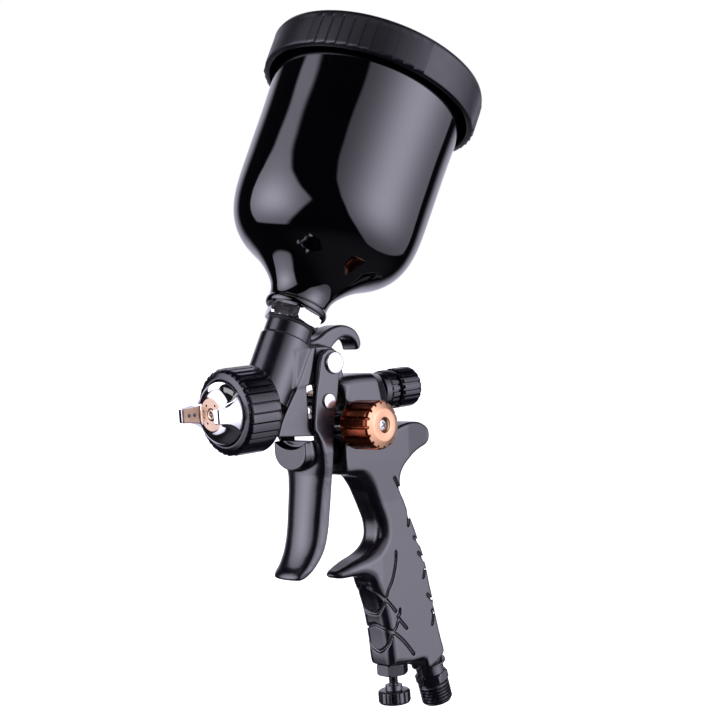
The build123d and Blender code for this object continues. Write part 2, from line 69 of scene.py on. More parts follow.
class LocalFrame:
    """A frame whose z is the axis of the pieces turned in it."""

    def __init__(self, origin, z, x):
        self.origin = np.array(origin, float)
        self.z = unit(z)
        x = np.array(x, float)
        self.x = unit(x - x @ self.z * self.z)
        self.y = np.cross(self.z, self.x)
        self.line = (self.origin, self.z)

    def place(self, points):
        x, y, z = (points[..., i:i + 1] for i in range(3))
        return self.origin + x * self.x + y * self.y + z * self.z


CUP = LocalFrame((0, 25.15, 0), (0, math.sin(CUP_TILT), math.cos(CUP_TILT)), (1, 0, 0))
NEEDLE = LocalFrame((0, 0, 0), (0, 1, 0), (1, 0, 0))
FAN = LocalFrame((29.0, 62.98, -10.85), (math.cos(FAN_TILT), math.sin(FAN_TILT), 0), (0, 0, 1))
INLET = LocalFrame((0, 109.5, -135.7), (0, -math.sin(INLET_TILT), math.cos(INLET_TILT)), (1, 0, 0))
FLOW = LocalFrame((0, 84.4, 0), (0, 0, -1), (1, 0, 0))
PIVOT = LocalFrame((0, 52.8, 14.8), (1, 0, 0), (0, 1, 0))
PULL = LocalFrame((0, 48.6, 0), (1, 0, 0), (0, 1, 0))
VALVE = LocalFrame((0, 0, -21.5), (0, 1, 0), (1, 0, 0))
NEEDLE_LINE = ((0, 0, 0), (0, 1, 0))


# ---------------------------------------------------------------- materials
def set_inputs(tree, node, inputs):
    """Each input takes a value, or the socket that feeds it."""
    for key, value in inputs.items():
        if isinstance(value, bpy.types.NodeSocket):
            tree.links.new(value, node.inputs[key])
        else:
            node.inputs[key].default_value = value


def add_node(tree, kind, inputs, **settings):
    node = tree.nodes.new(kind)
    for key, value in settings.items():
        setattr(node, key, value)
    set_inputs(tree, node, inputs)
    return node


def map_range(tree, value, source, target, interpolation="LINEAR"):
    inputs = {"Value": value, "From Min": source[0], "From Max": source[1],
              "To Min": target[0], "To Max": target[1]}
    node = add_node(tree, "ShaderNodeMapRange", inputs, interpolation_type=interpolation)
    return node.outputs["Result"]


def new_material(name):
    """Returns the material, its node tree and its object coordinates."""
    material = bpy.data.materials.new(name)
    material.use_nodes = True
    tree = material.node_tree
    return material, tree, tree.nodes.new("ShaderNodeTexCoord").outputs["Object"]


def noise(tree, coords, scale, octaves, roughness):
    inputs = {"Vector": coords, "Scale": scale, "Detail": octaves, "Roughness": roughness}
    return add_node(tree, "ShaderNodeTexNoise", inputs).outputs["Fac"]


def colour_ramp(tree, factor, colours, positions):
    node = add_node(tree, "ShaderNodeValToRGB", {"Fac": factor})
    for element, colour, position in zip(node.color_ramp.elements, colours, positions):
        element.position = position
        element.color = (*colour, 1)
    return node.outputs["Color"]


MATERIALS = {}
MIDDLE = (0.3, 0.7)  # the part of the noise range that colour and roughness use


def add_material(key, name, slot, dark, light, rough, mottle,
                 metallic=0.0, specular=0.5, grain=None):
    """Mottled surface. mottle is a noise scale; grain is a bump's (strength, scale, depth in m)."""
    material, tree, coords = new_material(name)
    colour = noise(tree, coords, scale=mottle, octaves=5.0, roughness=0.55)
    gloss = noise(tree, coords, scale=mottle * 2.7, octaves=3.0, roughness=0.6)
    inputs = {
        "Base Color": colour_ramp(tree, colour, (dark, light), MIDDLE),
        "Roughness": map_range(tree, gloss, MIDDLE, rough),
        "Metallic": metallic, "IOR": 1.5, "Specular IOR Level": specular,
    }
    if grain:
        strength, scale, depth = grain
        height = noise(tree, coords, scale=scale, octaves=2.0, roughness=0.5)
        bump = {"Strength": strength, "Distance": depth, "Height": height}
        inputs["Normal"] = add_node(tree, "ShaderNodeBump", bump).outputs["Normal"]
    set_inputs(tree, tree.nodes["Principled BSDF"], inputs)
    MATERIALS[key] = material


FINE = 0.00003
COARSE = 0.00005
SATIN = dict(dark=(0.0016, 0.0013, 0.0034), light=(0.0030, 0.0025, 0.0058), mottle=45.0,
             specular=1.0)
add_material("casting", "casting_satin_black", "casting", **SATIN,
             rough=(0.20, 0.26), grain=(0.10, 2200.0, FINE))
add_material("trigger", "trigger_satin_black", "casting", **SATIN,
             rough=(0.18, 0.24), grain=(0.08, 2200.0, FINE))
add_material("cup", "cup_gloss_black", "cup_gloss",
             dark=(0.0002, 0.00015, 0.0006), light=(0.0005, 0.0004, 0.0012),
             rough=(0.035, 0.060), mottle=22.0, specular=1.0, grain=(0.012, 55.0, 0.0002))
add_material("lid", "lid_matte_black", "lid_matte",
             dark=(0.0022, 0.0019, 0.0040), light=(0.0042, 0.0037, 0.0070),
             rough=(0.34, 0.42), mottle=70.0, specular=0.6, grain=(0.22, 1500.0, COARSE))
add_material("anodised", "anodised_black", "black_anodised",
             dark=(0.0022, 0.0018, 0.0040), light=(0.0040, 0.0034, 0.0070),
             rough=(0.14, 0.22), mottle=120.0, specular=0.7, grain=(0.06, 1600.0, FINE))
add_material("fitting", "oxide_black", "black_fitting",
             dark=(0.0030, 0.0026, 0.0050), light=(0.0070, 0.0062, 0.0100),
             rough=(0.18, 0.28), mottle=150.0, specular=0.9, grain=(0.08, 1500.0, FINE))
add_material("chrome", "chrome_polished", "chrome_cap", metallic=1.0,
             dark=(0.62, 0.61, 0.64), light=(0.72, 0.71, 0.74),
             rough=(0.06, 0.10), mottle=90.0, grain=(0.02, 600.0, FINE))
add_material("nickel", "nickel_bright", "nickel", metallic=1.0,
             dark=(0.50, 0.49, 0.49), light=(0.64, 0.63, 0.62),
             rough=(0.14, 0.24), mottle=140.0, grain=(0.05, 1200.0, FINE))
add_material("brass", "brass_turned", "brass", metallic=1.0,
             dark=(0.52, 0.37, 0.26), light=(0.62, 0.46, 0.34),
             rough=(0.26, 0.36), mottle=160.0, grain=(0.08, 1500.0, FINE))
add_material("steel", "steel_ground", "steel", metallic=1.0,
             dark=(0.42, 0.42, 0.44), light=(0.54, 0.54, 0.56), rough=(0.22, 0.32), mottle=140.0)
add_material("seal", "seal_rubber", "seal",
             dark=(0.004, 0.004, 0.005), light=(0.009, 0.009, 0.010),
             rough=(0.55, 0.7), mottle=80.0, grain=(0.1, 900.0, COARSE))
add_material("nylon", "nylon_white", "strainer_plastic",
             dark=(0.55, 0.55, 0.52), light=(0.66, 0.66, 0.63),
             rough=(0.4, 0.5), mottle=60.0, grain=(0.05, 900.0, COARSE))
add_material("copper", "copper_anodised", "copper_anodised", metallic=1.0,
             dark=(0.24, 0.055, 0.024), light=(0.32, 0.085, 0.036),
             rough=(0.22, 0.32), mottle=110.0, grain=(0.05, 1500.0, FINE))
# a lighter copy of the knob's copper anodising for its end face: a painted highlight, not a
# different finish
add_material("copper_painted_highlight", "copper_anodised_painted_highlight", "copper_anodised", metallic=1.0,
             dark=(0.58, 0.33, 0.19), light=(0.66, 0.39, 0.24),
             rough=(0.28, 0.36), mottle=110.0, grain=(0.04, 1500.0, FINE))


# ---------------------------------------------------------------- meshes
def add_part(name, points, faces, material, body, piece,
             sharp=35, normals=None, accent=None, accented=None):
    """Mesh object from points in mm; the faces flagged in accented take the accent material."""
    mesh = bpy.data.meshes.new(name)
    points = points * MM
    if isinstance(faces, np.ndarray):
        count, sides = faces.shape
        mesh.vertices.add(len(points))
        mesh.vertices.foreach_set("co", points.astype(np.float32).ravel())
        mesh.loops.add(count * sides)
        mesh.loops.foreach_set("vertex_index", faces.astype(np.int32).ravel())
        mesh.polygons.add(count)
        starts = np.arange(0, count * sides, sides, dtype=np.int32)
        mesh.polygons.foreach_set("loop_start", starts)
        mesh.polygons.foreach_set("loop_total", np.full(count, sides, np.int32))
        mesh.update(calc_edges=True)
    else:
        mesh.from_pydata(points.tolist(), [], [list(map(int, face)) for face in faces])
    mesh.validate()
    mesh.polygons.foreach_set("use_smooth", [True] * len(mesh.polygons))
    if normals is not None:
        mesh.normals_split_custom_set_from_vertices([tuple(normal) for normal in normals])
    else:
        mesh.set_sharp_from_angle(angle=math.radians(sharp))
    part = bpy.data.objects.new(name, mesh)
    bpy.context.scene.collection.objects.link(part)
    mesh.materials.append(MATERIALS[material])
    if accent:
        mesh.materials.append(MATERIALS[accent])
        mesh.polygons.foreach_set("material_index", accented.astype(np.int32))
    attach(part, body)
    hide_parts(piece)
    return part


def band_faces(bands, columns, rows):
    """Quads between rows of points; columns close on themselves and rows wrap after the last."""
    row, column = np.meshgrid(np.arange(bands), np.arange(columns), indexing="ij")
    next_row, next_column = (row + 1) % rows, (column + 1) % columns
    corners = ((row, column), (row, next_column), (next_row, next_column), (next_row, column))
    return np.stack([i * columns + j for i, j in corners], -1).reshape(-1, 4)


def lathe(frame, profile, segments, radius_at=None):
    """Turn a closed (radius, height) profile; radius_at(theta, radius, height) reshapes it."""
    profile = np.array(profile, float)
    angles = np.arange(segments) * 2 * math.pi / segments
    radius, theta = np.meshgrid(profile[:, 0], angles, indexing="ij")
    height, _ = np.meshgrid(profile[:, 1], angles, indexing="ij")
    if radius_at:
        radius = radius_at(theta, radius, height)
    points = np.stack([radius * np.cos(theta), radius * np.sin(theta), height], -1)
    rows = len(profile)
    return frame.place(points.reshape(-1, 3)), band_faces(rows, segments, rows)


def rounded(profile, radius, steps):
    """Closed (radius, height) profile with its corners rounded."""
    corners = np.array(profile, float)
    result = []
    for i, corner in enumerate(corners):
        back = corners[i - 1] - corner
        ahead = corners[(i + 1) % len(corners)] - corner
        back_length, ahead_length = np.linalg.norm(back), np.linalg.norm(ahead)
        if back_length < 1e-6 or ahead_length < 1e-6:
            result.append(corner)
            continue
        back, ahead = back / back_length, ahead / ahead_length
        if abs(back @ ahead + 1) < 1e-3 or corner[0] < 1e-6:
            result.append(corner)
            continue
        reach = min(radius, back_length * 0.45, ahead_length * 0.45)
        start, end = corner + back * reach, corner + ahead * reach
        for k in range(steps + 1):
            t = k / steps
            result.append((1 - t) ** 2 * start + 2 * t * (1 - t) * corner + t * t * end)
    return [(max(float(p[0]), 0.0), float(p[1])) for p in result]


def turned(name, frame, profile, material, body, piece, segments=96,
           corner=0.15, corner_steps=3, radius_at=None, sharp=35):
    """Turned piece; a corner of 0 leaves the profile as given."""
    if corner:
        profile = rounded(profile, corner, corner_steps)
    points, faces = lathe(frame, profile, segments, radius_at)
    add_part(name, points, faces, material, body, piece, sharp)


def densify(profile, segment, count):
    """Add count points along one segment of a profile."""
    a, b = np.array(profile[segment]), np.array(profile[segment + 1])
    extra = [tuple(a + (b - a) * k / (count + 1)) for k in range(1, count + 1)]
    return profile[:segment + 1] + extra + profile[segment + 1:]


def spline(points, steps):
    """Centripetal Catmull-Rom curve through the points, each span cut into steps."""
    knots = np.array(points, float)
    last = len(knots) - 1
    curve = []
    for i in range(last):
        here, there = knots[i], knots[i + 1]
        before = knots[i - 1] if i > 0 else 2 * here - there
        after = knots[i + 2] if i + 2 <= last else 2 * there - here
        gap_in, gap, gap_out = [
            max(np.linalg.norm(b - a), 1e-6) ** 0.5
            for a, b in ((before, here), (here, there), (there, after))]
        leave = (here - before) / gap_in - (there - before) / (gap_in + gap) + (there - here) / gap
        enter = (there - here) / gap - (after - here) / (gap + gap_out) + (after - there) / gap_out
        leave, enter = leave * gap, enter * gap
        for k in range(steps):
            t = k / steps
            curve.append((2 * t**3 - 3 * t * t + 1) * here + (t**3 - 2 * t * t + t) * leave
                         + (-2 * t**3 + 3 * t * t) * there + (t**3 - t * t) * enter)
    curve.append(knots[-1])
    return np.array(curve)


def path(*chunks):
    """Join point lists to one polygon, dropping repeated points."""
    points = []
    for point in itertools.chain(*chunks):
        point = np.array(point, float)
        if not points or np.linalg.norm(points[-1] - point) > 1e-4:
            points.append(point)
    return np.array(points)


# ---------------------------------------------------------------- distance fields, negative inside
def clamp(value):
    return np.clip(value, 0, 1)


class Grid:
    """Sample points from low to at least high; X, Y and Z broadcast against each other."""

    def __init__(self, low, high, step):
        self.low = np.array(low, float)
        self.step = step
        self.shape = np.ceil((np.array(high, float) - self.low) / step).astype(int) + 1
        x, y, z = [(self.low[i] + np.arange(self.shape[i]) * step).astype(np.float32)
                   for i in range(3)]
        self.X = x[:, None, None]
        self.Y = y[None, :, None]
        self.Z = z[None, None, :]


def segment_distance(a, b, u, v):
    """Squared distance to the segment a-b, with the offsets from a."""
    edge = b - a
    to_u, to_v = u - a[0], v - a[1]
    t = clamp((to_u * edge[0] + to_v * edge[1]) / max(float(edge @ edge), 1e-9))
    return (to_u - t * edge[0]) ** 2 + (to_v - t * edge[1]) ** 2, edge, to_u, to_v


def polygon_field(polygon, u, v):
    """Signed distance to a closed polygon on a 2D grid."""
    polygon = np.asarray(polygon, np.float32)
    nearest = np.full(np.broadcast(u, v).shape, 1e9, np.float32)
    sign = np.ones_like(nearest)
    for a, b in zip(polygon, np.roll(polygon, -1, 0)):
        squared, edge, to_u, to_v = segment_distance(a, b, u, v)
        nearest = np.minimum(nearest, squared)
        above, below, left = v >= a[1], v < b[1], (edge[0] * to_v) > (edge[1] * to_u)
        crosses = (above & below & left) | (~above & ~below & ~left)
        sign = np.where(crosses, -sign, sign)
    return sign * np.sqrt(nearest)


def line_distance(line, u, v):
    """Distance to an open polyline."""
    line = np.asarray(line, np.float32)
    nearest = np.full(np.broadcast(u, v).shape, 1e9, np.float32)
    for a, b in zip(line[:-1], line[1:]):
        nearest = np.minimum(nearest, segment_distance(a, b, u, v)[0])
    return np.sqrt(nearest)


def overlap(a, b, radius):
    """Intersection of two fields with a rounded edge."""
    a, b = a + radius, b + radius
    outside = np.sqrt(np.maximum(a, 0) ** 2 + np.maximum(b, 0) ** 2)
    return np.minimum(np.maximum(a, b), 0) + outside - radius


def join(a, b, blend):
    """Union with a smooth fillet."""
    near = np.maximum(blend - np.abs(a - b), 0) / blend
    return np.minimum(a, b) - near * near * blend * 0.25


def cut(field, tool, blend=0.3):
    return -join(-field, tool, blend)


def cylinder_field(grid, line, radius, start, end, edge):
    """Cylinder about line, an (origin, direction) pair, from start to end along it."""
    origin, direction = line
    direction = unit(direction)
    x, y, z = grid.X - origin[0], grid.Y - origin[1], grid.Z - origin[2]
    along = x * direction[0] + y * direction[1] + z * direction[2]
    away = np.sqrt(np.maximum(x * x + y * y + z * z - along * along, 0))
    ends = np.maximum(start - along, along - end)
    return overlap(away - radius, ends, edge).astype(np.float32)


def box_field(grid, low, high, edge):
    centre = [(a + b) / 2 for a, b in zip(low, high)]
    half = [(b - a) / 2 - edge for a, b in zip(low, high)]
    x, y, z = [np.abs(axis - c) - s for axis, c, s in zip((grid.X, grid.Y, grid.Z), centre, half)]
    outside = np.sqrt(np.maximum(x, 0) ** 2 + np.maximum(y, 0) ** 2 + np.maximum(z, 0) ** 2)
    inside = np.minimum(np.maximum(x, np.maximum(y, z)), 0)
    return (outside + inside - edge).astype(np.float32)


def slab_field(grid, outline, half_width, edge):
    """A (y, z) outline spread to both sides of the middle plane."""
    flat = polygon_field(outline, grid.Y[0], grid.Z[0])[None]
    return overlap(flat, np.abs(grid.X) - half_width, edge).astype(np.float32)


def bored(grid, field, bores):
    """Cut cylinders: rows of line, radius, start, end, edge rounding, blend with the field."""
    for line, radius, start, end, edge, blend in bores:
        field = cut(field, cylinder_field(grid, line, radius, start, end, edge), blend)
    return field


CORNERS = list(itertools.product((0, 1), repeat=3))


def sample(grid, field, points):
    """Trilinear reading of a field."""
    place = (points - grid.low) / grid.step
    cell = np.clip(np.floor(place).astype(int), 0, np.array(field.shape) - 2)
    part = place - cell
    total = 0
    for corner in CORNERS:
        weight = np.where(corner, part, 1 - part).prod(1)
        total = total + weight * field[tuple((cell + corner).T)]
    return total


def surface_nets(grid, field):
    """Points, quads and normals of a field's zero surface."""
    inside = field < 0
    count = np.zeros([size - 1 for size in field.shape], np.uint8)
    for corner in CORNERS:
        count += inside[tuple(slice(i, size - 1 + i) for i, size in zip(corner, field.shape))]
    active = (count > 0) & (count < 8)
    cells = np.argwhere(active)
    ids = np.full(active.shape, -1, np.int32)
    ids[active] = np.arange(len(cells))

    # a cell's point is the mean of the crossings on its twelve edges
    values = {corner: field[tuple((cells + corner).T)].astype(float) for corner in CORNERS}
    total = np.zeros((len(cells), 3))
    crossings = np.zeros(len(cells))
    for axis in range(3):
        for start in CORNERS:
            if start[axis]:
                continue
            end = start[:axis] + (1,) + start[axis + 1:]
            first, second = values[start], values[end]
            crossed = (first < 0) != (second < 0)
            point = np.zeros((len(cells), 3)) + start
            point[:, axis] = np.where(crossed, first / np.where(crossed, first - second, 1.0), 0)
            total[crossed] += point[crossed]
            crossings[crossed] += 1
    points = grid.low + (cells + total / crossings[:, None]) * grid.step

    # every grid edge that crosses the surface gives a quad between its four cells
    quads = []
    for axis in range(3):
        low = [slice(None)] * 3
        high = [slice(None)] * 3
        low[axis], high[axis] = slice(0, -1), slice(1, None)
        first = inside[tuple(low)]
        edges = np.argwhere(first != inside[tuple(high)])
        side, other = (axis + 1) % 3, (axis + 2) % 3
        for across in (side, other):
            edges = edges[(edges[:, across] > 0) & (edges[:, across] < field.shape[across] - 1)]
        leaving = first[tuple(edges.T)]
        quad = []
        for side_step, other_step in ((-1, -1), (0, -1), (0, 0), (-1, 0)):
            cell = edges.copy()
            cell[:, side] += side_step
            cell[:, other] += other_step
            quad.append(ids[tuple(cell.T)])
        quad = np.stack(quad, 1)
        quad[~leaving] = quad[~leaving][:, ::-1]
        quads.append(quad)
    quads = np.concatenate(quads)
    quads = quads[(quads >= 0).all(1)]

    steps = np.eye(3) * (grid.step * 0.75)
    normals = np.stack([sample(grid, field, points + step) - sample(grid, field, points - step)
                        for step in steps], 1)
    normals /= np.maximum(np.linalg.norm(normals, axis=1, keepdims=True), 1e-9)
    return points, quads, normals


# ---------------------------------------------------------------- casting
# Outlines are (y, z). The handle's front edge runs down, its rear edge runs back up.
HANDLE_FRONT = [
    (59.4, -31), (61.5, -31.7), (64.5, -32), (67.2, -32.6), (69, -33.8), (70.6, -36),
    (72.3, -39), (74, -43.6), (76, -49), (77.4, -52.9), (77.9, -56.3), (77.4, -59.6),
    (75, -62.7), (70.7, -65.3), (64, -67.3), (57.5, -69.4), (54.6, -70.4), (53.4, -71.5),
    (54.6, -72.7), (57.2, -73.3), (62.7, -73.5), (67.6, -74.2), (70.4, -76), (71.4, -79),
    (73.1, -83), (74.6, -88), (75.7, -93), (76.4, -98), (77, -104), (77.3, -110), (77.8, -113.4),
]
HANDLE_FOOT = [
    (79, -114), (95.6, -114.2), (97, -114.9), (97.8, -118.2), (99.6, -118.9), (103.6, -117.6),
    (107.4, -115.4),
]
HANDLE_REAR = [
    (108.9, -113.2), (108.3, -110.5), (107.2, -106), (106.2, -101), (105, -95), (104.2, -89),
    (103, -83), (101.9, -76.5), (100.4, -70), (98.6, -64.5), (96.6, -58.7), (94.2, -52.8),
    (91.9, -47.2), (90.4, -42.2), (89.6, -38), (90.2, -34.8), (92.2, -31.8), (95.4, -29.2),
    (99.2, -27), (103.2, -25.6), (106.2, -24.7), (107.9, -23), (108.4, -20.4), (107.6, -17.8),
    (105.2, -15.9), (101.5, -14.5), (97, -14), (92.5, -14.4), (88.2, -15.4),
]
HANDLE_TOP = [(86.4, -10), (84.5, -6), (80, -4), (62, -4), (60.5, -6.5)]
BARREL_CROWN = [
    (56.3, -6.6), (59.3, -3.6), (60, -1.4), (59.3, 2.4), (57.9, 5.6), (60, 7.7), (64.5, 8.6),
    (70, 8.7), (78, 8.3), (84, 7.5),
]
BARREL_END = [(86, 6.4), (86.2, 0), (86, -6.6), (84, -7.6)]
HEAD_BLOCK = [(43, -13.3), (41.4, -9.5), (41.3, 8), (43.6, 14), (45.6, 21.3)]
HEAD_FRONT = [
    (44.4, 21.3), (41.3, 16.3), (38.8, 12), (35.7, 7.1), (32.8, 3.5), (29.2, -1.3), (26.4, -5.5),
    (24.7, -9.2), (23.8, -11.2),
]
BRIDGE_REAR = [(60.6, 8.6), (60, 13), (58.9, 17.2), (56, 20.4), (52, 21.8)]
WEB = [(36, -10.3), (60, -10.7), (60, -6.2), (36, -6.2)]
HOOK_OUTER = [
    (46.2, 24), (50.4, 24.3), (54.2, 25.3), (58, 27.3), (62, 28.6), (66, 29), (70, 28.2),
    (73.4, 26.4), (75.5, 23.4), (76.1, 20.4), (75.2, 18.5),
]
HOOK_INNER = [
    (73.7, 18.2), (73.3, 20), (72.6, 21.6), (71.1, 23), (69, 23.8), (66.6, 23.9), (64, 23),
    (61.2, 21.2), (58.6, 18.6),
]
NEEDLE_OPENING = [(40, -6.2), (58.3, -6.2), (58.3, 6.9), (40, 6.9)]
# moulded grip lines, (y, z) where the line meets the flank
GRIP_LINES = [
    [(82.8, -66.5), (82.6, -68.8), (81.6, -72.8), (79.3, -78.2), (76.6, -81.8), (75.4, -84.9)],
    [(65.7, -78.5), (69.9, -81), (75.4, -85.3), (80.3, -90.9)],
    [(75.4, -85.3), (72.5, -88.5), (70.1, -90.5), (66.1, -90.5)],
    [(82.7, -90.5), (82.4, -92.5), (81.2, -93.1), (85.8, -99.1)],
    [(81.3, -94.8), (79.6, -97.8), (77.7, -99.1)],
    [(66.3, -94.7), (71.7, -96.6), (77.7, -99.1), (83.6, -104.1), (88.8, -110.6)],
    [(77.7, -99.1), (75.6, -103.2), (71.9, -106.2), (68.4, -107.1), (65.8, -105.3)],
    [(85, -35.9), (87.7, -41.3), (91.5, -49.4), (91, -56.8)],
    [(93.7, -62.1), (98.5, -67.3)],
    [(95.6, -69), (99.1, -73)],
    [(98.7, -76.7), (97.6, -79.9)],
    [(99.2, -87.4), (101.3, -89.9)],
    [(101.3, -94.6), (101.9, -96), (100.8, -100.5)],
    [(102.6, -91.9), (104.4, -97.3)],
    [(98.5, -67.3), (100.9, -72.8), (102.6, -81.7)],
]
# line, radius, start, end, edge rounding, blend
HEAD_BORES = [
    (NEEDLE_LINE, 11.0, 5.0, 24.0, 0.2, 0.3),
    (CUP.line, 7.9, 24.0, 60.0, 0.2, 0.3),
    (CUP.line, 4.2, 12.0, 60.0, 0.2, 0.3),
]
BODY_BORES = [
    (NEEDLE_LINE, 6.0, 83.2, 100.0, 0.1, 0.3),
    (NEEDLE_LINE, 4.9, 61.0, 100.0, 0.1, 0.3),
    (NEEDLE_LINE, 1.5, 30.0, 64.0, 0.1, 0.3),
    (VALVE.line, 5.0, 50.0, 88.2, 0.1, 0.3),
    (FLOW.line, 5.0, 100.0, 130.0, 0.1, 0.3),
    (INLET.line, 6.0, -5.0, 30.0, 0.1, 0.3),
    (INLET.line, 30.0, -5.0, 18.2, 0.1, 0.5),  # trims the foot square to the inlet
    (FAN.line, 4.15, -33.6, 4.0, 0.1, 0.3),
    (PIVOT.line, 2.55, -20.0, 20.0, 0.1, 0.3),
]


def handle_field(grid):
    y, z = grid.Y[0], grid.Z[0]
    outline = path([(58.3, -12.6)], [(58.3, -29.6)], spline(HANDLE_FRONT, 4), HANDLE_FOOT,
                   spline(HANDLE_REAR, 4), HANDLE_TOP)
    flat = polygon_field(outline, y, z)
    # the front is rounded much more than the back, and the finger rest thins to its tip
    from_front = clamp((line_distance(spline(HANDLE_FRONT, 3)[6:], y, z) - 2.5) / 9.0)
    below = clamp((-24.0 - z) / 7.0)
    front = np.interp(z, [-114, -84, -74, -60, -50, -34, -28], [4.3, 4.3, 4.8, 5.6, 5.6, 5.0, 3.2])
    tongue = clamp((76.0 - y) / 22.0) * clamp((z + 78.0) / 3.0) * clamp((-60.0 - z) / 3.0)
    front = front * (1 - tongue) + 1.9 * tongue
    edge = (front * (1 - from_front) + 2.0 * from_front) * below + 1.5 * (1 - below)
    width = np.interp(z, [-120, -100, -80, -62, -45, -28, -14, 10],
                      [7.9, 7.8, 7.8, 7.8, 8.0, 9.3, 10.1, 10.2])
    rest_width = np.interp(y, [53, 54.2, 56.5, 60, 64, 70, 76, 82],
                           [2.4, 3.3, 4.6, 5.7, 6.5, 7.3, 7.8, 7.8])
    in_rest = clamp((z + 77.5) / 2.5) * clamp((-59.0 - z) / 3.0)
    width = width * (1 - in_rest) + np.minimum(rest_width, width) * in_rest
    # the horn at the upper rear is narrower
    width = width - 1.4 * (clamp((y - 94.0) / 12.0) * clamp((z + 34.0) / 4.0))
    return overlap(flat[None], np.abs(grid.X) - width[None], edge[None]).astype(np.float32)


def barrel_field(grid):
    """Rear barrel with a rounded crown; its sides draw in towards the lock ring."""
    y, z = grid.Y[0], grid.Z[0]
    outline = path(spline(BARREL_CROWN, 4), BARREL_END)
    width = 10.3 - 3.1 * clamp((y - 79.0 + 0.18 * z) / 7.0)
    edge = 3.6 * clamp(z / 5.0) + 0.9
    return slab_field(grid, outline, width[None], edge[None])


def head_field(grid):
    """Front of the casting: head, cup boss, nozzle collar, bridge, web and top hook."""
    head = slab_field(grid, path(HEAD_BLOCK, spline(HEAD_FRONT, 3)), 10.4, 0.35)
    boss = join(cylinder_field(grid, CUP.line, 10.1, 2.0, 28.93, 0.25),
                cylinder_field(grid, CUP.line, 9.4, 26.0, 34.87, 0.4), 0.25)
    field = join(head, boss, 0.12)
    field = join(field, cylinder_field(grid, NEEDLE_LINE, 12.4, 21.3, 23.2, 0.5), 0.3)
    bridge = path([(34, 6.6), (57.4, 6.8), (60.6, 8.2)], spline(BRIDGE_REAR, 4),
                  [(44, 22.2), (36, 21)])
    field = join(field, slab_field(grid, bridge, 10.15, 1.2), 1.6)
    field = join(field, slab_field(grid, WEB, 9.2, 1.0), 0.6)
    hook = path(spline(HOOK_OUTER, 5), spline(HOOK_INNER, 5), [(46.2, 17)])
    return join(field, slab_field(grid, hook, 4.9, 1.3), 1.5)


def cut_grip_lines(grid, field):
    """Shallow channels that wrap from both flanks round the handle's front edge."""
    near = np.argwhere((np.abs(field) < 1.3) & (grid.Z < -33.0) & (grid.Y > 55.0))
    x = np.abs(grid.X[near[:, 0], 0, 0])
    y = grid.Y[0, near[:, 1], 0]
    z = grid.Z[0, 0, near[:, 2]]
    # slide each point along the slanting direction of the wrap to where x is 9
    flank_y = y + 0.926 * (x - 9.0)
    flank_z = z + 0.094 * (y - flank_y)
    skin = field[tuple(near.T)]
    away = np.full(len(near), 99.0, np.float32)
    for line in GRIP_LINES:
        away = np.minimum(away, line_distance(spline(line, 3), flank_y, flank_z))
    channel = 0.66 - np.sqrt(away * away + (skin * 0.8) ** 2)
    field[tuple(near.T)] = (-join(-skin, -channel, 0.06)).astype(np.float32)


def build_casting():
    grid = Grid((-15.5, 10.5, -121.5), (15.5, 110.5, 37.5), detail(0.38))
    field = join(handle_field(grid), barrel_field(grid), 1.2)
    field = join(field, head_field(grid), 1.4)
    field = np.minimum(field, cylinder_field(grid, NEEDLE_LINE, 13.9, 12.4, 21.6, 0.2))
    field = bored(grid, field, HEAD_BORES)
    field = cut(field, slab_field(grid, NEEDLE_OPENING, 14.0, 0.6))
    field = bored(grid, field, BODY_BORES)
    cut_grip_lines(grid, field)
    points, quads, normals = surface_nets(grid, field)
    add_part("body_casting", points, quads, "casting", "gun", "gun_body", normals=normals)


build_casting()

# ---------------------------------------------------------------- trigger
# (y, z) outlines of the side plates and of the finger lever below them
PLATE_FRONT = [
    (47.3, 18.6), (45.9, 15.6), (44.6, 10.3), (42.7, 3.9), (41.2, -4), (40.4, -9.2), (40.9, -12.2),
]
PLATE_REAR = [
    (49.4, -29), (49.5, -22), (50.2, -12.8), (52, -5.3), (53.9, 2.7), (55.4, 9.5), (56.8, 13),
    (56.9, 16.2), (54.9, 19.2), (51.2, 20.5), (47.3, 18.6),
]
FINGER_NECK = [(40.9, -12.2), (41.1, -16), (41.3, -22), (41.2, -29)]
FINGER_FRONT = [
    (41.2, -29), (40.6, -33), (39.8, -38), (38.7, -44), (37.6, -50), (36.2, -55.5), (34.2, -60.3),
    (31.8, -64.2), (29.4, -66.8), (29, -68.4), (31, -69.4),
]
FINGER_REAR = [
    (31, -69.4), (34.6, -68.6), (38, -66), (41.2, -62.4), (43.6, -58.8), (46, -51.9),
    (47.6, -43.6), (48.9, -34.8), (49.4, -29),
]
FINGER_HOLLOW = [
    (70, -17), (42.9, -17), (43.1, -24), (43.2, -29), (43.4, -32), (42.7, -37), (41.4, -45),
    (40.3, -51), (38.7, -57), (37.4, -60.8), (70, -60.8),
]
TRIGGER_SIDE = 13.07  # half the width over the side plates


def pad_field(grid):
    """Flat D pad with a scooped top edge, standing in front of the lever."""
    bottom = np.sqrt((grid.X / 9.5) ** 2 + (np.minimum(grid.Z + 19.6, 0) / 7.0) ** 2)
    face = np.maximum((bottom - 1.0) * 7.0, grid.Z + 14.0)
    thickness = np.maximum(37.3 + 0.03 * (grid.Z + 26) - grid.Y, grid.Y - 43.6)
    pad = overlap(face, thickness, 0.45).astype(np.float32)
    outside_scoop = np.sqrt(grid.X ** 2 + (grid.Z + 2.4) ** 2)
    return cut(pad, outside_scoop - 15.8)


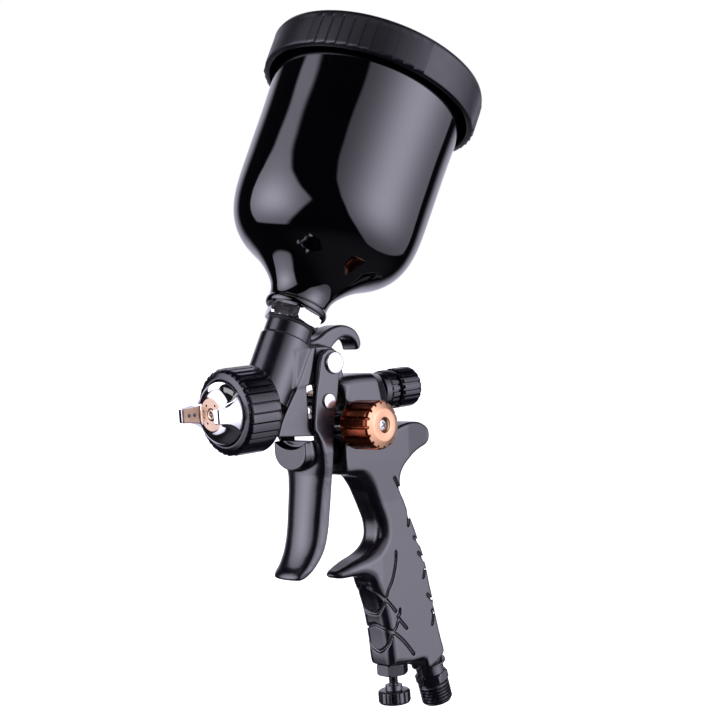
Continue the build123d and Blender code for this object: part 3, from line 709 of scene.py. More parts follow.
def build_trigger():
    step = detail(0.36)
    grid = Grid((-14.2, 26.5, -71.5), (14.2, 58.5, 22.0), step)
    y, z = grid.Y[0], grid.Z[0]
    outline = path(spline(PLATE_FRONT, 4), spline(FINGER_NECK, 3), spline(FINGER_FRONT, 4),
                   spline(FINGER_REAR, 4), spline(PLATE_REAR, 4)[:-1])
    flat = polygon_field(outline, y, z)
    flat_hollow = polygon_field(FINGER_HOLLOW, y, z)
    width = np.interp(
        z, [-72, -69, -66, -62, -56, -45, -35, -30, -26, -20, 25],
        [5.6, 7.6, 8.9, 9.6, 10.1, 10.4, 10.8, 11.4, 12.3, TRIGGER_SIDE, TRIGGER_SIDE],
    ).astype(np.float32)
    hollow_width = np.interp(z, [-72, -63, -55, -33, -20.5, 25], [5.0, 6.6, 7.6, 8.0, 10.4, 10.4])
    bulge = np.interp(z, [-72, -69.5, -66, -60, -52, -30, -24, -16, -11],
                      [1.6, 2.4, 4.6, 6.0, 6.3, 6.3, 5.2, 3.0, 0.0]).astype(np.float32)

    # the finger's front is a barrel across its width: the front wall, and the hollow behind
    # it, move back towards the sides
    rows = np.arange(flat.shape[0])[:, None]
    field = np.empty(tuple(grid.shape), np.float32)
    hollow = np.empty_like(field)
    for i in range(grid.shape[0]):
        aside = clamp(abs(float(grid.X[i, 0, 0])) / width)
        source = rows - bulge * (1 - np.sqrt(1 - aside * aside * 0.985)) / step
        row = np.clip(np.floor(source).astype(int), 0, flat.shape[0] - 2)
        part = clamp(source - row)
        moved, hollow[i] = [
            np.take_along_axis(still, row, 0) * (1 - part)
            + np.take_along_axis(still, row + 1, 0) * part for still in (flat, flat_hollow)]
        field[i] = np.maximum(moved, flat)

    across = np.abs(grid.X)
    edge = np.where(z < -12, 0.9, 0.55)
    field = overlap(field, across - width[None], edge[None]).astype(np.float32)
    field = cut(field, box_field(grid, (-10.5, 20, -15.2), (10.5, 70, 40), 0.2))
    hollow = overlap(hollow, across - hollow_width[None], 2.2).astype(np.float32)
    field = cut(field, hollow, 0.4)
    field = cut(field, box_field(grid, (-10.5, 44.4, -22.5), (10.5, 70, 40), 0.2))
    field = join(field, pad_field(grid), 1.4)
    points, quads, normals = surface_nets(grid, field)
    add_part("trigger_lever", points, quads, "trigger", "trigger", "trigger", normals=normals)


build_trigger()

# ---------------------------------------------------------------- air cap
# (radius, y) of the dome; the horns are (|x|, y)
DOME_SHOULDER = [(6.6, 0.15), (8.4, 0.65), (10.1, 1.6), (11.4, 3), (12.2, 4.6), (12.7, 6.8)]
DOME_RIM = [(12.8, 9.8), (13, 9.8), (13, 11), (0, 11)]
HORN = [
    (5.9, 1.2), (6.3, -0.1), (9.3, -6), (9.9, -6.45), (12, -6.2), (12.45, -5.6), (12.7, 2),
    (12.75, 9.6), (5.9, 9.6),
]


def cap_bores():
    """Rows for bored: the middle hole, the hollow back, horn holes and small face holes."""
    bores = [(NEEDLE_LINE, 2.45, -12, 3, 0.05, 0.15),
             (((0, 6.5, 0), (0, 1, 0)), 9.0, 0, 8, 1.0, 0.3)]
    for side in (-1, 1):
        for share in (0.36, 0.68):  # of the way out along the horn's inner face
            origin = (side * (6.3 + 3.0 * share), -0.1 - 5.9 * share, 0)
            bores.append(((origin, (side * 0.89, 0.453, 0)), 0.60, -1.0, 3.2, 0.05, 0.08))
    for side, up in itertools.product((-1, 1), repeat=2):
        for x, z, radius in ((2.6, 3.4, 0.42), (4.6, 1.2, 0.35)):
            line = ((side * x, 0, up * z), (0, 1, 0))
            bores.append((line, radius, -1, 2.0, 0.05, 0.1))
    return bores


def build_air_cap():
    grid = Grid((-13.6, -10.2, -13.6), (13.6, 12.0, 13.6), detail(0.17))
    radius = np.sqrt(grid.X**2 + grid.Z**2)
    # the dome's field is tabled by radius and height, then swept round
    profile = path([(0, 0), (6.3, 0)], spline(DOME_SHOULDER, 4), DOME_RIM)
    radii = np.linspace(0, 20, 500).astype(np.float32)
    table = polygon_field(profile, radii[:, None], grid.Y[0, :, 0][None, :])
    place = np.clip(radius / radii[1], 0, len(radii) - 2)[:, 0, :]
    index = place.astype(int)
    part = place - index
    dome = np.stack([column[index] * (1 - part) + column[index + 1] * part
                     for column in table.T], 1).astype(np.float32)

    across = np.abs(grid.X)
    horn = polygon_field(HORN, across[:, :, 0], grid.Y[:, :, 0])[:, :, None]
    flare = 0.10 * np.clip(grid.Y + 6.4, 0, 30)
    root = 0.055 * np.clip(grid.Y + 2.4, 0, 30) ** 2
    horn = overlap(horn, (np.abs(grid.Z) - (2.7 + flare + root)) * 0.9, 0.3)
    horn = np.maximum(horn, radius - 12.8)
    field = bored(grid, join(dome, horn.astype(np.float32), 0.9), cap_bores())
    points, quads, normals = surface_nets(grid, field)

    # the middle of the face and the inner faces of the horns are brass
    x, y, z = points[quads].mean(1).T
    outward = np.sign(x) * normals[quads].mean(1)[:, 0]
    brass = (np.hypot(x, z) < 6.45) & (y < 0.6)
    brass |= (y < 0.5) & (np.abs(x) < 9.9) & (outward < -0.5)
    add_part("air_cap_dome", points, quads, "chrome", "cap", "air_cap", normals=normals,
             accent="brass", accented=brass)


build_air_cap()

# ---------------------------------------------------------------- retaining ring
RIB_PITCHES = [13.2, 13.2, 9.4, 9.4, 13.2, 9.4]  # degrees, repeated and scaled to a full turn


def rib_starts():
    starts = [0.0]
    while starts[-1] < 359:
        starts.append(starts[-1] + RIB_PITCHES[(len(starts) - 1) % len(RIB_PITCHES)])
    return np.array(starts[:-1]) * 360.0 / starts[-1]


def ring_ribs(theta, radius, height):
    """Narrow grooves with a shallow saw-tooth land between them."""
    starts = rib_starts()
    angle = np.degrees(theta) % 360
    rib = np.searchsorted(starts, angle, side="right") - 1
    span = (np.append(starts[1:], 360.0) - starts)[rib]
    along = (angle - starts[rib]) / span
    width = 2.6 / span
    groove = np.where(along < width, np.sin(clamp(along / width) * math.pi) ** 0.5, 0.0)
    land = 0.42 * (1 - clamp((along - width) / (1 - width)))
    ends = clamp((height - 5.9) / 0.3) * clamp((20.6 - height) / 0.35)
    return radius - clamp((radius - 15.4) / 0.5) * ends * (0.95 * groove + land)


# Profiles from here on are (radius, height along the frame's axis).
turned("retaining_ring_ribbed", NEEDLE, [
    (14.05, 11.4), (14.05, 21.08), (16.6, 21.08), (17, 20.6), (17, 19), (17, 15), (17, 11),
    (17, 8.6), (16.9, 7.6), (16.45, 6.9), (16, 6.5), (15.5, 6.2), (15, 6), (13.6, 5.5),
    (13, 5.5), (12.85, 5.9), (12.85, 9.5), (13.1, 9.6), (13.1, 11.4),
], "anodised", "ring", "retaining_ring", corner=0.18, segments=detail(1440),
    radius_at=ring_ribs, sharp=40)


# ---------------------------------------------------------------- reshaping of turned pieces
def thread(major, depth, pitch, start, end):
    """Helical V thread cut into the surface of the major radius."""

    def radius_at(theta, radius, height):
        phase = ((height - start) / pitch - theta / (2 * math.pi)) % 1.0
        groove = clamp(np.abs(phase - 0.5) * 2 * 1.25 - 0.12)
        run_out = pitch * 0.6
        fade = clamp((height - start) / run_out) * clamp((end - height) / run_out)
        threaded = (radius > major - 0.05) & (height > start) & (height < end)
        return np.where(threaded, radius - depth * groove * fade, radius)

    return radius_at


def hexagon(across_flats, low=-math.inf, high=math.inf, turn=0.0):
    """Trim to a hexagon between two heights."""

    def radius_at(theta, radius, height):
        angle = (theta + turn) % (math.pi / 3) - math.pi / 6
        flats = np.minimum(radius, across_flats / 2 / np.cos(angle))
        return np.where((height > low) & (height < high), flats, radius)

    return radius_at


def grooves(theta, count, share, slope, offset=0.0):
    """1 in each of count grooves round the turn, 0 between; share and slope are of a pitch."""
    pitch = 360.0 / count
    along = ((np.degrees(theta) + offset) % pitch) / pitch
    return clamp(np.minimum(along / slope, (share - along) / slope))


def knob_ribs(count, depth, share, start, end, inner, fade):
    """Grip grooves outside the inner radius, between two heights."""

    def radius_at(theta, radius, height):
        ends = clamp((radius - inner) / 0.4) * clamp((height - start) / fade)
        ends = ends * clamp((end - height) / fade)
        return radius - ends * depth * grooves(theta, count, share, slope=0.07)

    return radius_at


def add_spring(name, frame, radius, start, end, turns, piece):
    """Coil spring with closed ends and an open middle."""
    wire = 0.45
    sides = 14
    count = turns * 40
    t = np.linspace(0, 1, count + 1)
    height = np.interp(t, [0, 1.0 / turns, 1 - 1.0 / turns, 1],
                       [start + wire, start + wire * 2.6, end - wire * 2.6, end - wire])
    phase = t * turns * 2 * math.pi
    centre = np.stack([radius * np.cos(phase), radius * np.sin(phase), height], 1)
    tangent = np.gradient(centre, axis=0)
    tangent /= np.linalg.norm(tangent, axis=1, keepdims=True)
    outward = np.stack([np.cos(phase), np.sin(phase), 0 * phase], 1)
    sideways = np.cross(tangent, outward)
    angle = (np.arange(sides) * 2 * math.pi / sides)[None, :, None]
    rim = np.cos(angle) * outward[:, None] + np.sin(angle) * sideways[:, None]
    points = frame.place((centre[:, None] + wire * rim).reshape(-1, 3))
    faces = list(band_faces(count, sides, count + 1))
    faces += [range(sides)[::-1], range(count * sides, (count + 1) * sides)]
    return add_part(name, points, faces, "steel", "gun", piece, sharp=60)


# ---------------------------------------------------------------- pieces on the needle's axis
NEEDLE_RADIUS = 1.25

turned("cap_clip_ring", NEEDLE, [(12.2, 11.45), (13.9, 11.45), (13.9, 12.3), (12.2, 12.3)],
       "steel", "cap_carrier", "cap_clip")
turned("distributor_ring", NEEDLE, [(5.3, 13), (10.9, 13), (10.9, 15), (5.3, 15)],
       "nylon", "gun", "air_distributor")
turned("fluid_tip", NEEDLE, [
    (0.9, 0), (1.6, -0.25), (2.1, 0), (2.2, 0.3), (2.2, 2.2), (4.4, 6), (4.4, 12.9), (5.2, 12.9),
    (5.2, 15.1), (7, 15.1), (7, 23), (5, 23), (5, 28.4), (2.6, 28.4), (2.6, 5),
], "brass", "gun", "fluid_nozzle")
turned("nozzle_gasket", NEEDLE, [(5.05, 23), (7, 23), (7, 23.95), (5.05, 23.95)],
       "seal", "gun", "nozzle_seal")
turned("needle_rod", NEEDLE, [
    (0, -1.2), (0.3, -0.6), (0.85, 0.4), (NEEDLE_RADIUS, 6), (NEEDLE_RADIUS, 83.25), (0, 83.25),
], "steel", "needle", "fluid_needle", corner=0.05)
turned("packing_ring", NEEDLE, [(1.3, 35), (3.5, 35), (3.5, 36.8), (1.3, 36.8)],
       "seal", "gun", "needle_packing")
turned("packing_gland", NEEDLE, [
    (1.3, 36.85), (3.5, 36.85), (3.5, 40), (3.9, 40), (4.3, 40.4), (4.3, 42.6), (3.9, 43),
    (1.3, 43),
], "nickel", "gun", "packing_nut", radius_at=hexagon(7.4, low=39.9))
turned("needle_pull_collar", NEEDLE,
       [(NEEDLE_RADIUS, 51.05), (4, 51.05), (4, 54.4), (NEEDLE_RADIUS, 54.4)],
       "brass", "needle", "needle_collar", corner=0.3)
turned("needle_seat_ring", NEEDLE,
       [(NEEDLE_RADIUS, 62.6), (4.7, 62.6), (4.7, 64.2), (NEEDLE_RADIUS, 64.2)],
       "brass", "needle", "needle_spring_seat")
turned("rear_seat_ring", NEEDLE, [(1.3, 81.1), (3.95, 81.1), (3.95, 83), (1.3, 83)],
       "steel", "rear_seat", "spring_rear_seat")

spring = add_spring("needle_return_spring", NEEDLE, radius=3.6, start=64.25, end=81.0, turns=8,
                    piece="needle_spring")
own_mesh(spring)
spring = add_spring("valve_return_spring", VALVE, radius=3.3, start=71.9, end=87.8, turns=7,
                    piece="air_valve_spring")
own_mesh(spring)

# rear controls
turned("rear_bush_threaded", NEEDLE,
       densify([(4.05, 83.2), (6.0, 83.2), (6.0, 94.2), (4.05, 94.2)], 1, 60),
       "nickel", "gun", "rear_bush", corner=0.02, corner_steps=1,
       radius_at=thread(major=6.0, depth=0.45, pitch=1.0, start=84.0, end=94.0))
turned("lock_ring_ribbed", NEEDLE, densify([
    (6.05, 86.3), (7.3, 86.3), (7.45, 86.6), (7.45, 89), (7.55, 89.2), (8, 89.4), (8.1, 89.7),
    (8.1, 93), (7.7, 93.6), (7, 93.8), (6.05, 93.8),
], 6, 5), "anodised", "lock", "lock_ring", segments=720, corner_steps=2, sharp=40,
    radius_at=knob_ribs(20, depth=0.95, share=0.44, start=89.3, end=93.9, inner=7.2, fade=0.15))
turned("fluid_knob_ribbed", NEEDLE, densify([
    (1.4, 83.05), (4, 83.05), (4, 95.2), (6.4, 95), (7.5, 95.2), (8.4, 96), (8.4, 96.8),
    (8.4, 104.6), (8.1, 105.4), (7.4, 106), (6, 106.1), (5.4, 105.8), (0, 105.8), (0, 89.6),
    (1.4, 89.6),
], 6, 6), "anodised", "knob_rear", "fluid_knob", segments=720, corner_steps=2, sharp=40,
    radius_at=knob_ribs(20, depth=1.05, share=0.44, start=95.3, end=106.2, inner=7.3, fade=0.15))

# ---------------------------------------------------------------- fan control
turned("fan_bush_turned", FAN, [
    (2.05, -29.2), (4, -29.2), (4, -18.2), (4.3, -18.2), (4.3, -10.5), (2.05, -10.5),
], "nickel", "gun", "fan_bush")
turned("fan_spindle_turned", FAN, [
    (0, -33.6), (0.7, -33.6), (1.6, -32.4), (2, -31.6), (2, -4.2), (0, -4.2),
], "steel", "fan", "fan_spindle")
turned("fan_o_ring", FAN, [(2.05, -33), (3.95, -33), (3.95, -31.9), (2.05, -31.9)],
       "seal", "fan_carrier", "fan_seal", corner=0.5)
FAN_KNOB = [
    (2, -8), (7.2, -8), (7.2, -15.6), (9, -15.6), (9.6, -15.2), (9.8, -14.6), (9.8, -12),
    (9.8, -3), (9.65, -2.2), (9.2, -1.4), (8.75, -1.17), (8.3, -0.95), (8.1, -0.85),
    (6.7, -0.15), (6.3, 0), (3.25, 0), (2.95, -0.25), (2.95, -2.2), (1.45, -2.2), (1.45, -4.2),
    (2, -4.2),
]


def fan_flutes(theta, radius, height):
    ends = clamp((radius - 8.3) / 0.3) * clamp((height + 15.1) / 0.3)
    flutes = grooves(theta, 16, share=0.36, slope=0.09, offset=4.0)
    return radius - ends * flutes * np.minimum(1.25, radius - 8.25)


def build_fan_knob():
    profile = rounded(densify(FAN_KNOB, 6, 10), 0.12, 2)
    points, faces = lathe(FAN, profile, detail(960), fan_flutes)
    centres = points[faces].mean(1) - FAN.origin
    away = np.linalg.norm(np.cross(centres, FAN.z), axis=1)
    # the end face takes the lighter copper copy, which paints a highlight onto it
    painted_highlight_end = (centres @ FAN.z > -1.45) & (away < 9.25)
    add_part("fan_knob_fluted", points, faces, "copper", "fan", "fan_knob", sharp=38,
             accent="copper_painted_highlight", accented=painted_highlight_end)


def build_fan_screw():
    """Domed screw with a cross recess, turned a little about its axis."""
    grid = Grid((-3.0, -3.0, -10.3), (3.0, 3.0, 0.3), detail(0.09))
    x, y, z = grid.X, grid.Y, grid.Z
    away = np.sqrt(x**2 + y**2)
    dome = np.sqrt(x**2 + y**2 + (z + 4.4) ** 2) - 3.95
    head = overlap(away - 2.7, np.maximum(-2.2 - z, dome), 0.2)
    shank = overlap(away - 1.4, np.maximum(-10.0 - z, z + 2.0), 0.2)
    field = np.minimum(head, shank)
    for along, across in ((x, y), (y, x)):
        length = np.abs(along) - 1.55 + 0.35 * (-0.5 - z)
        recess = np.maximum(np.maximum(length, np.abs(across) - 0.36), -1.7 - z)
        field = cut(field, recess, 0.12)
    points, quads, normals = surface_nets(grid, field.astype(np.float32))
    cosine, sine = math.cos(0.45), math.sin(0.45)

    def spun(vectors):
        x, y, z = vectors.T
        return np.stack([x * cosine - y * sine, x * sine + y * cosine, z], 1)

    add_part("fan_screw_cross", FAN.place(spun(points)), quads, "nickel", "fan",
             "fan_knob_screw", normals=FAN.place(spun(normals)) - FAN.origin)


build_fan_knob()
build_fan_screw()

# ---------------------------------------------------------------- trigger pins
turned("pivot_pin_head", PIVOT, [
    (0, -11.5), (2.5, -11.5), (2.5, TRIGGER_SIDE), (4.44, TRIGGER_SIDE), (4.44, 13.9),
    (4.2, 14.2), (3.6, 14.35), (0, 14.4),
], "nickel", "trigger", "pivot_pin", corner=0.2)
turned("pivot_screw_head", PIVOT, [
    (0, -14.35), (3.6, -14.3), (4.2, -14.1), (4.44, -13.8), (4.44, -TRIGGER_SIDE),
    (2.5, -TRIGGER_SIDE), (2.5, -11.5), (NEEDLE_RADIUS, -11.5), (NEEDLE_RADIUS, -4.2), (0, -4.2),
], "nickel", "trigger", "pivot_screw", corner=0.2)
PULL_STUD = [
    (0, 1.5), (2.4, 1.5), (2.4, TRIGGER_SIDE), (3.12, TRIGGER_SIDE), (3.12, 13.65), (2.8, 13.95),
    (0, 14.05),
]
turned("pull_stud_l", PULL, PULL_STUD, "nickel", "trigger", "pull_stud_left", corner=0.2)
turned("pull_stud_r", PULL, [(radius, -height) for radius, height in PULL_STUD[::-1]],
       "nickel", "trigger", "pull_stud_right", corner=0.2)
for name, start, end, piece in (("pivot_washer_l", 10.22, 10.5, "pivot_washer_left"),
                                ("pivot_washer_r", -10.5, -10.22, "pivot_washer_right")):
    turned(name, PIVOT, [(2.5, start), (4.6, start), (4.6, end), (2.5, end)],
           "steel", "trigger", piece, corner=0.03)

# ---------------------------------------------------------------- air valve
turned("valve_stem_turned", VALVE, [
    (0, 42.7), (0.9, 42.85), (1.6, 43.4), (2, 44.4), (2, 69.6), (0, 69.6),
], "steel", "valve", "air_valve_stem")
turned("valve_gland_nut", VALVE, [
    (2.05, 54.6), (5.2, 54.6), (6, 55.2), (6, 57.8), (5.4, 58.3), (5, 58.3), (5, 66), (3.4, 66),
    (3.4, 62.6), (2.05, 62.6),
], "fitting", "gun", "air_valve_nut", segments=192, radius_at=hexagon(10.4, high=58.31))
turned("valve_packing_ring", VALVE, [(2.05, 62.7), (3.35, 62.7), (3.35, 65.9), (2.05, 65.9)],
       "seal", "gun", "air_valve_packing")
turned("valve_seat_ring", VALVE, [(3.2, 66.5), (5, 66.5), (5, 69.5), (3.2, 69.5)],
       "brass", "gun", "air_valve_seat")
turned("valve_head_disc", VALVE, [
    (0, 69.6), (4.2, 69.6), (4.2, 71.8), (2.2, 71.8), (2.2, 75), (0, 75),
], "brass", "valve", "air_valve_head")

# ---------------------------------------------------------------- air inlet and flow control
inlet_thread = thread(major=6.7, depth=0.95, pitch=1.41, start=0.5, end=8.7)
inlet_hexagon = hexagon(12.6, low=9.2, high=13.45, turn=math.radians(18))
turned("inlet_nipple_threaded", INLET, densify([
    (3.6, 0), (5.9, 0), (6.7, 0.9), (6.7, 8.6), (5.9, 9.2), (6.6, 9.5), (7.1, 9.9), (7.1, 12.8),
    (6.5, 13.3), (6, 13.4), (6, 17.4), (6, 28.5), (3.6, 28.5),
], 2, 90), "fitting", "gun", "air_inlet_nipple", segments=192, corner=0, sharp=38,
    radius_at=lambda theta, radius, height: inlet_hexagon(
        theta, inlet_thread(theta, radius, height), height))
turned("inlet_washer", INLET, [(6.05, 17.45), (7.4, 17.45), (7.4, 18.2), (6.05, 18.2)],
       "fitting", "gun", "inlet_gasket")
turned("flow_bush_hex", FLOW, [
    (2.05, 104), (5, 104), (5, 114), (6.2, 114), (6.7, 114.5), (6.7, 118), (6.2, 118.6),
    (2.05, 118.6),
], "fitting", "gun", "flow_bush", segments=192, radius_at=hexagon(11.6, low=113.9))
turned("flow_stem_threaded", FLOW, densify([
    (0, 97), (1.2, 97.4), (2, 98.6), (2, 118), (2, 123.2), (2, 125.2), (2.4, 125.2),
    (2.4, 127.5), (0, 127.5),
], 3, 40), "fitting", "flow", "flow_stem", corner=0.02, corner_steps=1,
    radius_at=thread(major=2.0, depth=0.3, pitch=0.8, start=118.2, end=123.0))
turned("flow_o_ring", FLOW, [(2, 99.2), (4.9, 99.2), (4.9, 100.6), (2, 100.6)],
       "seal", "flow_carrier", "flow_seal", corner=0.4)
turned("flow_knob_ribbed", FLOW, densify([
    (2, 123.2), (3.6, 123.2), (3.6, 125.3), (6, 125.3), (6.75, 125.9), (6.75, 126.3),
    (6.75, 130), (6.2, 130.8), (5.6, 131), (0, 131), (0, 127.5), (2.4, 127.5), (2.4, 125.2),
    (2, 125.2),
], 5, 4), "fitting", "flow", "flow_knob", segments=576, corner_steps=2, sharp=40,
    radius_at=knob_ribs(16, depth=0.75, share=0.45, start=125.5, end=130.6, inner=6.0, fade=0.2))

# ---------------------------------------------------------------- cup
CUP_OUTER = [
    (10.4, 41.35), (12.1, 41.4), (12.55, 42.3), (12.5, 43.4), (12.05, 44.3), (11.95, 45.6),
    (12.2, 47.4), (12.9, 49.6), (14.2, 51.8), (16.2, 54.2), (19, 57), (22.6, 59.9), (26.4, 62.3),
    (30.2, 64.8), (33.4, 67.9), (35.9, 71.8), (37.6, 76.4), (38.6, 81.5), (39.1, 88),
    (39.35, 100), (39.6, 118), (40.2, 136), (40.6, 150.6),
]
CUP_INNER = [
    (40.4, 151), (39, 151), (38.8, 150.6), (37.8, 118), (37.4, 90), (36.9, 82), (35.3, 75.5),
    (32.2, 70), (28, 66.2), (22, 62.6), (17, 59), (13, 55.6), (11, 52), (9.7, 48.9), (7, 47),
    (7, 44.6), (10.4, 44.6),
]
turned("paint_cup", CUP, np.vstack([spline(CUP_OUTER, 5), CUP_INNER]), "cup", "cup", "cup",
       segments=192, corner=0, sharp=50)
turned("cup_nut_hex", CUP, [
    (6.2, 27), (7.85, 27), (7.85, 35.9), (10.2, 35.9), (11, 36.1), (11.85, 37.2), (11.85, 40.1),
    (11, 41.2), (10.3, 41.35), (10, 41.35), (10, 44.55), (6.2, 44.55),
], "nickel", "cup", "cup_adapter_nut", segments=288, corner=0.12, sharp=24,
    radius_at=hexagon(20.5, low=35.85, high=41.36, turn=math.radians(30)))
turned("cup_seal_ring", CUP, [(7.9, 34.9), (9.2, 34.9), (9.2, 35.85), (7.9, 35.85)],
       "seal", "cup_carrier", "cup_seal")
turned("cup_strainer_cone", CUP, [
    (7, 47.1), (9.2, 48.9), (8.9, 49.6), (6.6, 47.9), (5.4, 47.9), (3, 61.5), (0, 61.5),
    (0, 60.9), (2.5, 60.9), (4.9, 47.1),
], "nylon", "cup", "cup_strainer")

# ---------------------------------------------------------------- lid
LID_BOTTOM = 137.4
LID_TOP = 154.5
LID_RADIUS = 45.4
LID_PROFILE = [
    (0, LID_TOP - 2.4), (40.9, LID_TOP - 2.4), (42.6, LID_TOP - 4.4), (42.6, LID_BOTTOM),
    (43.6, LID_BOTTOM), (44.9, LID_BOTTOM + 0.3), (45.3, LID_BOTTOM + 0.9),
    (45.35, LID_BOTTOM + 1.6), (LID_RADIUS, LID_BOTTOM + 6), (LID_RADIUS, LID_TOP - 5),
    (45.2, LID_TOP - 3.2), (44.5, LID_TOP - 1.6), (43, LID_TOP - 0.6), (41, LID_TOP - 0.1),
    (39.6, LID_TOP), (38.6, LID_TOP - 0.6), (37.4, LID_TOP - 0.9), (10.4, LID_TOP - 0.9),
    (9.6, LID_TOP - 0.5), (9, LID_TOP), (3, LID_TOP), (3, LID_TOP - 2.4),
]


def lid_grips(theta, radius, height):
    """Three groups of eleven saw-tooth steps, with plain skirt between them."""
    along = (np.degrees(theta) + 81.0) % 120.0 / 6.0
    step = np.where(along < 11, 0.62 * (along - np.floor(along)), 0.0)
    ends = clamp((radius - 44.3) / 0.4) * clamp((height - LID_BOTTOM - 0.4) / 0.3)
    ends = ends * clamp((LID_TOP - 3.4 - height) / 0.9)
    return radius + ends * (step - 0.31)


turned("cup_lid_gripped", CUP, LID_PROFILE, "lid", "lid", "cup_lid",
       segments=detail(1440), corner=0.3, corner_steps=2, radius_at=lid_grips, sharp=30)
turned("lid_gasket_ring", CUP, [(37.2, 151.02), (40.7, 151.02), (40.7, 152.05), (37.2, 152.05)],
       "seal", "lid_carrier", "lid_gasket", segments=128)
turned("vent_plug_cap", CUP, [
    (0, LID_TOP - 4.6), (2.2, LID_TOP - 4.6), (2.95, LID_TOP - 3.6), (2.95, LID_TOP),
    (4.6, LID_TOP), (4.6, LID_TOP + 1.2), (3.9, LID_TOP + 2), (0, LID_TOP + 2),
], "lid", "vent", "vent_plug", corner=0.3)

# ---------------------------------------------------------------- camera
scene = bpy.context.scene
CAMERA_PLACE = [0.504158, -0.387004, 0.053300]
# rows: the camera's right, up and backward directions, made exactly square below
CAMERA_AXES = np.array([
    [0.680, 0.7294, -0.074], [0.008, 0.0936, 0.9956], [0.7331, -0.6776, 0.0578]])


def add_camera():
    data = bpy.data.cameras.new("camera")
    data.sensor_width = 36.0
    data.lens = 83.57
    data.clip_start = 0.01
    data.clip_end = 50
    square, _ = np.linalg.qr(CAMERA_AXES.T)
    matrix = np.eye(4)
    matrix[:3, :3] = square * np.sign((square * CAMERA_AXES.T).sum(0))
    matrix[:3, 3] = CAMERA_PLACE
    camera = bpy.data.objects.new("camera", data)
    camera.matrix_world = Matrix(matrix.tolist())
    scene.collection.objects.link(camera)
    scene.camera = camera


add_camera()

# ---------------------------------------------------------------- world
# Two large soft boxes with hot centres left and right of the camera, a white backdrop behind
# the gun and near black elsewhere. Directions are (azimuth, elevation) in degrees; azimuth
# counts from the camera's own, positive towards its right.
CAMERA_AZIMUTH = math.radians(47.25)
world = bpy.data.worlds.new("studio")
scene.world = world
world.use_nodes = True
sky = world.node_tree
sky.nodes.clear()
sky_coords = sky.nodes.new("ShaderNodeTexCoord").outputs["Generated"]


def direction(azimuth, elevation):
    azimuth, elevation = math.radians(azimuth) + CAMERA_AZIMUTH, math.radians(elevation)
    return Vector((math.sin(azimuth) * math.cos(elevation),
                   -math.cos(azimuth) * math.cos(elevation), math.sin(elevation)))


def sky_math(operation, a, b):
    return add_node(sky, "ShaderNodeMath", {0: a, 1: b}, operation=operation).outputs[0]


def sky_dot(vector):
    """Cosine of the angle between the view direction and a vector."""
    inputs = {0: sky_coords, 1: tuple(vector)}
    node = add_node(sky, "ShaderNodeVectorMath", inputs, operation="DOT_PRODUCT")
    return node.outputs["Value"]


def sky_step(value, source, target):
    return map_range(sky, value, source, target, "SMOOTHSTEP")


def softbox(corners, centre, peak, edge, reach, softness):
    """Polygon of light, one softness per side from its corner to the next."""
    centre = direction(*centre)
    corners = [direction(*corner) for corner in corners]
    # edge + (peak - edge) * exp(-reach * (1 - cosine)) falls off from the hot centre
    falloff = sky_math("MULTIPLY", sky_math("SUBTRACT", sky_dot(centre), 1.0), reach)
    light = sky_math("MULTIPLY", sky_math("POWER", 2.718281828, falloff), peak - edge)
    light = sky_math("ADD", light, edge)
    for i, corner in enumerate(corners):
        normal = corner.cross(corners[(i + 1) % len(corners)]).normalized()
        if normal.dot(centre) < 0:
            normal = -normal
        inside = sky_step(sky_dot(normal), (0.0, softness[i]), (0.0, 1.0))
        light = sky_math("MULTIPLY", light, inside)
    return light


left_box = softbox(
    corners=[(-110, 37), (-107, -22), (-68, -37), (-15, 14), (-33, 38), (-68, 52), (-95, 56)],
    centre=(-70, 12), peak=3.7, edge=0.75, reach=7.0,
    softness=[0.03, 0.06, 0.10, 0.12, 0.08, 0.08, 0.06])
right_box = softbox(
    corners=[(4, 50), (17, 4), (28, -34), (47, -57), (72, -60), (128, -30), (122, 30), (75, 66)],
    centre=(66, 4), peak=3.5, edge=0.48, reach=6.0,
    softness=[0.05, 0.05, 0.05, 0.04, 0.04, 0.04, 0.14, 0.1])
backdrop_fade = (math.cos(math.radians(46)), math.cos(math.radians(28)))
backdrop = sky_step(sky_dot(direction(180, 0)), backdrop_fade, (0.0, 0.8))
ground = sky_step(sky_dot((0, 0, -1)), (0.6, 1.0), (0.0, 0.05))
AMBIENT = 0.010
dim = sky_math("ADD", backdrop, sky_math("ADD", ground, AMBIENT))
strength = sky_math("ADD", sky_math("ADD", left_box, right_box), dim)
studio = add_node(sky, "ShaderNodeBackground", {0: (0.97, 0.93, 1.13, 1), 1: strength})
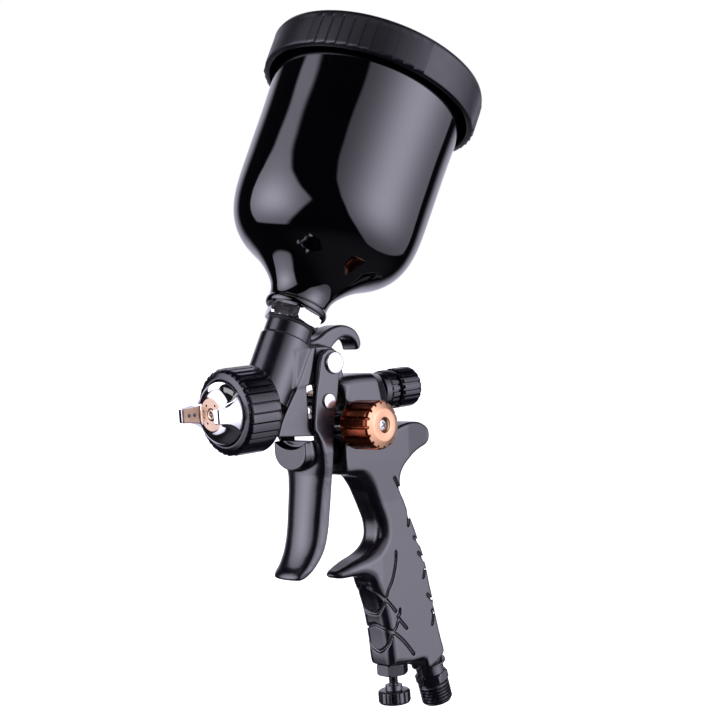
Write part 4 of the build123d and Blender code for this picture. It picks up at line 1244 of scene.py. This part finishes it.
# the camera itself sees plain white
white = add_node(sky, "ShaderNodeBackground", {0: (1, 1, 1, 1)})
camera_ray = sky.nodes.new("ShaderNodeLightPath").outputs["Is Camera Ray"]
mix = add_node(sky, "ShaderNodeMixShader",
               {0: camera_ray, 1: studio.outputs[0], 2: white.outputs[0]})
add_node(sky, "ShaderNodeOutputWorld", {0: mix.outputs[0]})


# ---------------------------------------------------------------- lights
def add_area_light(name, place, target, width, height, power):
    data = bpy.data.lights.new(name, "AREA")
    data.shape = "RECTANGLE"
    data.size = width
    data.size_y = height
    data.energy = power
    light = bpy.data.objects.new(name, data)
    aim = Vector(target) - Vector(place)
    light.rotation_euler = aim.to_track_quat("-Z", "Y").to_euler()
    light.location = place
    scene.collection.objects.link(light)
    return light


add_area_light("soft_top", place=(0.15, -0.25, 1.25), target=(0.0, 0.05, 0.0),
               width=0.9, height=0.6, power=0.9)
# a front light that only the air cap receives
cap_light = add_area_light("soft_front_cap", place=(-0.37, 0.02, 0.35), target=(0.0, 0.0, 0.0),
                           width=0.46, height=0.34, power=1.7)
receivers = bpy.data.collections.new("cap_light_receivers")
receivers.objects.link(bpy.data.objects["air_cap_dome"])
cap_light.light_linking.receiver_collection = receivers


# ---------------------------------------------------------------- floor
def add_floor(half_size, height):
    """Pale glowing floor, well below the gun, that doesn't light or shade it."""
    material, tree, coords = new_material("floor_pale")
    factor = noise(tree, coords, scale=3.0, octaves=2.0, roughness=0.5)
    colours = ((0.93, 0.93, 0.93), (0.95, 0.95, 0.95))
    set_inputs(tree, tree.nodes["Principled BSDF"], {
        "Base Color": colour_ramp(tree, factor, colours, (0.0, 1.0)), "Roughness": 0.9,
        "Emission Color": (1, 1, 1, 1), "Emission Strength": 1.0})
    mesh = bpy.data.meshes.new("floor")
    corners = [(x * half_size, y * half_size, height)
               for x, y in ((-1, -1), (1, -1), (1, 1), (-1, 1))]
    mesh.from_pydata(corners, [], [(0, 1, 2, 3)])
    floor = bpy.data.objects.new("floor", mesh)
    mesh.materials.append(material)
    scene.collection.objects.link(floor)
    floor.visible_glossy = False
    floor.visible_diffuse = False
    floor.visible_shadow = False


add_floor(half_size=6.0, height=-0.42)

scene.view_settings.view_transform = "Standard"
scene.view_settings.look = "None"
scene.view_settings.exposure = 0.0
scene.view_settings.gamma = 1.0

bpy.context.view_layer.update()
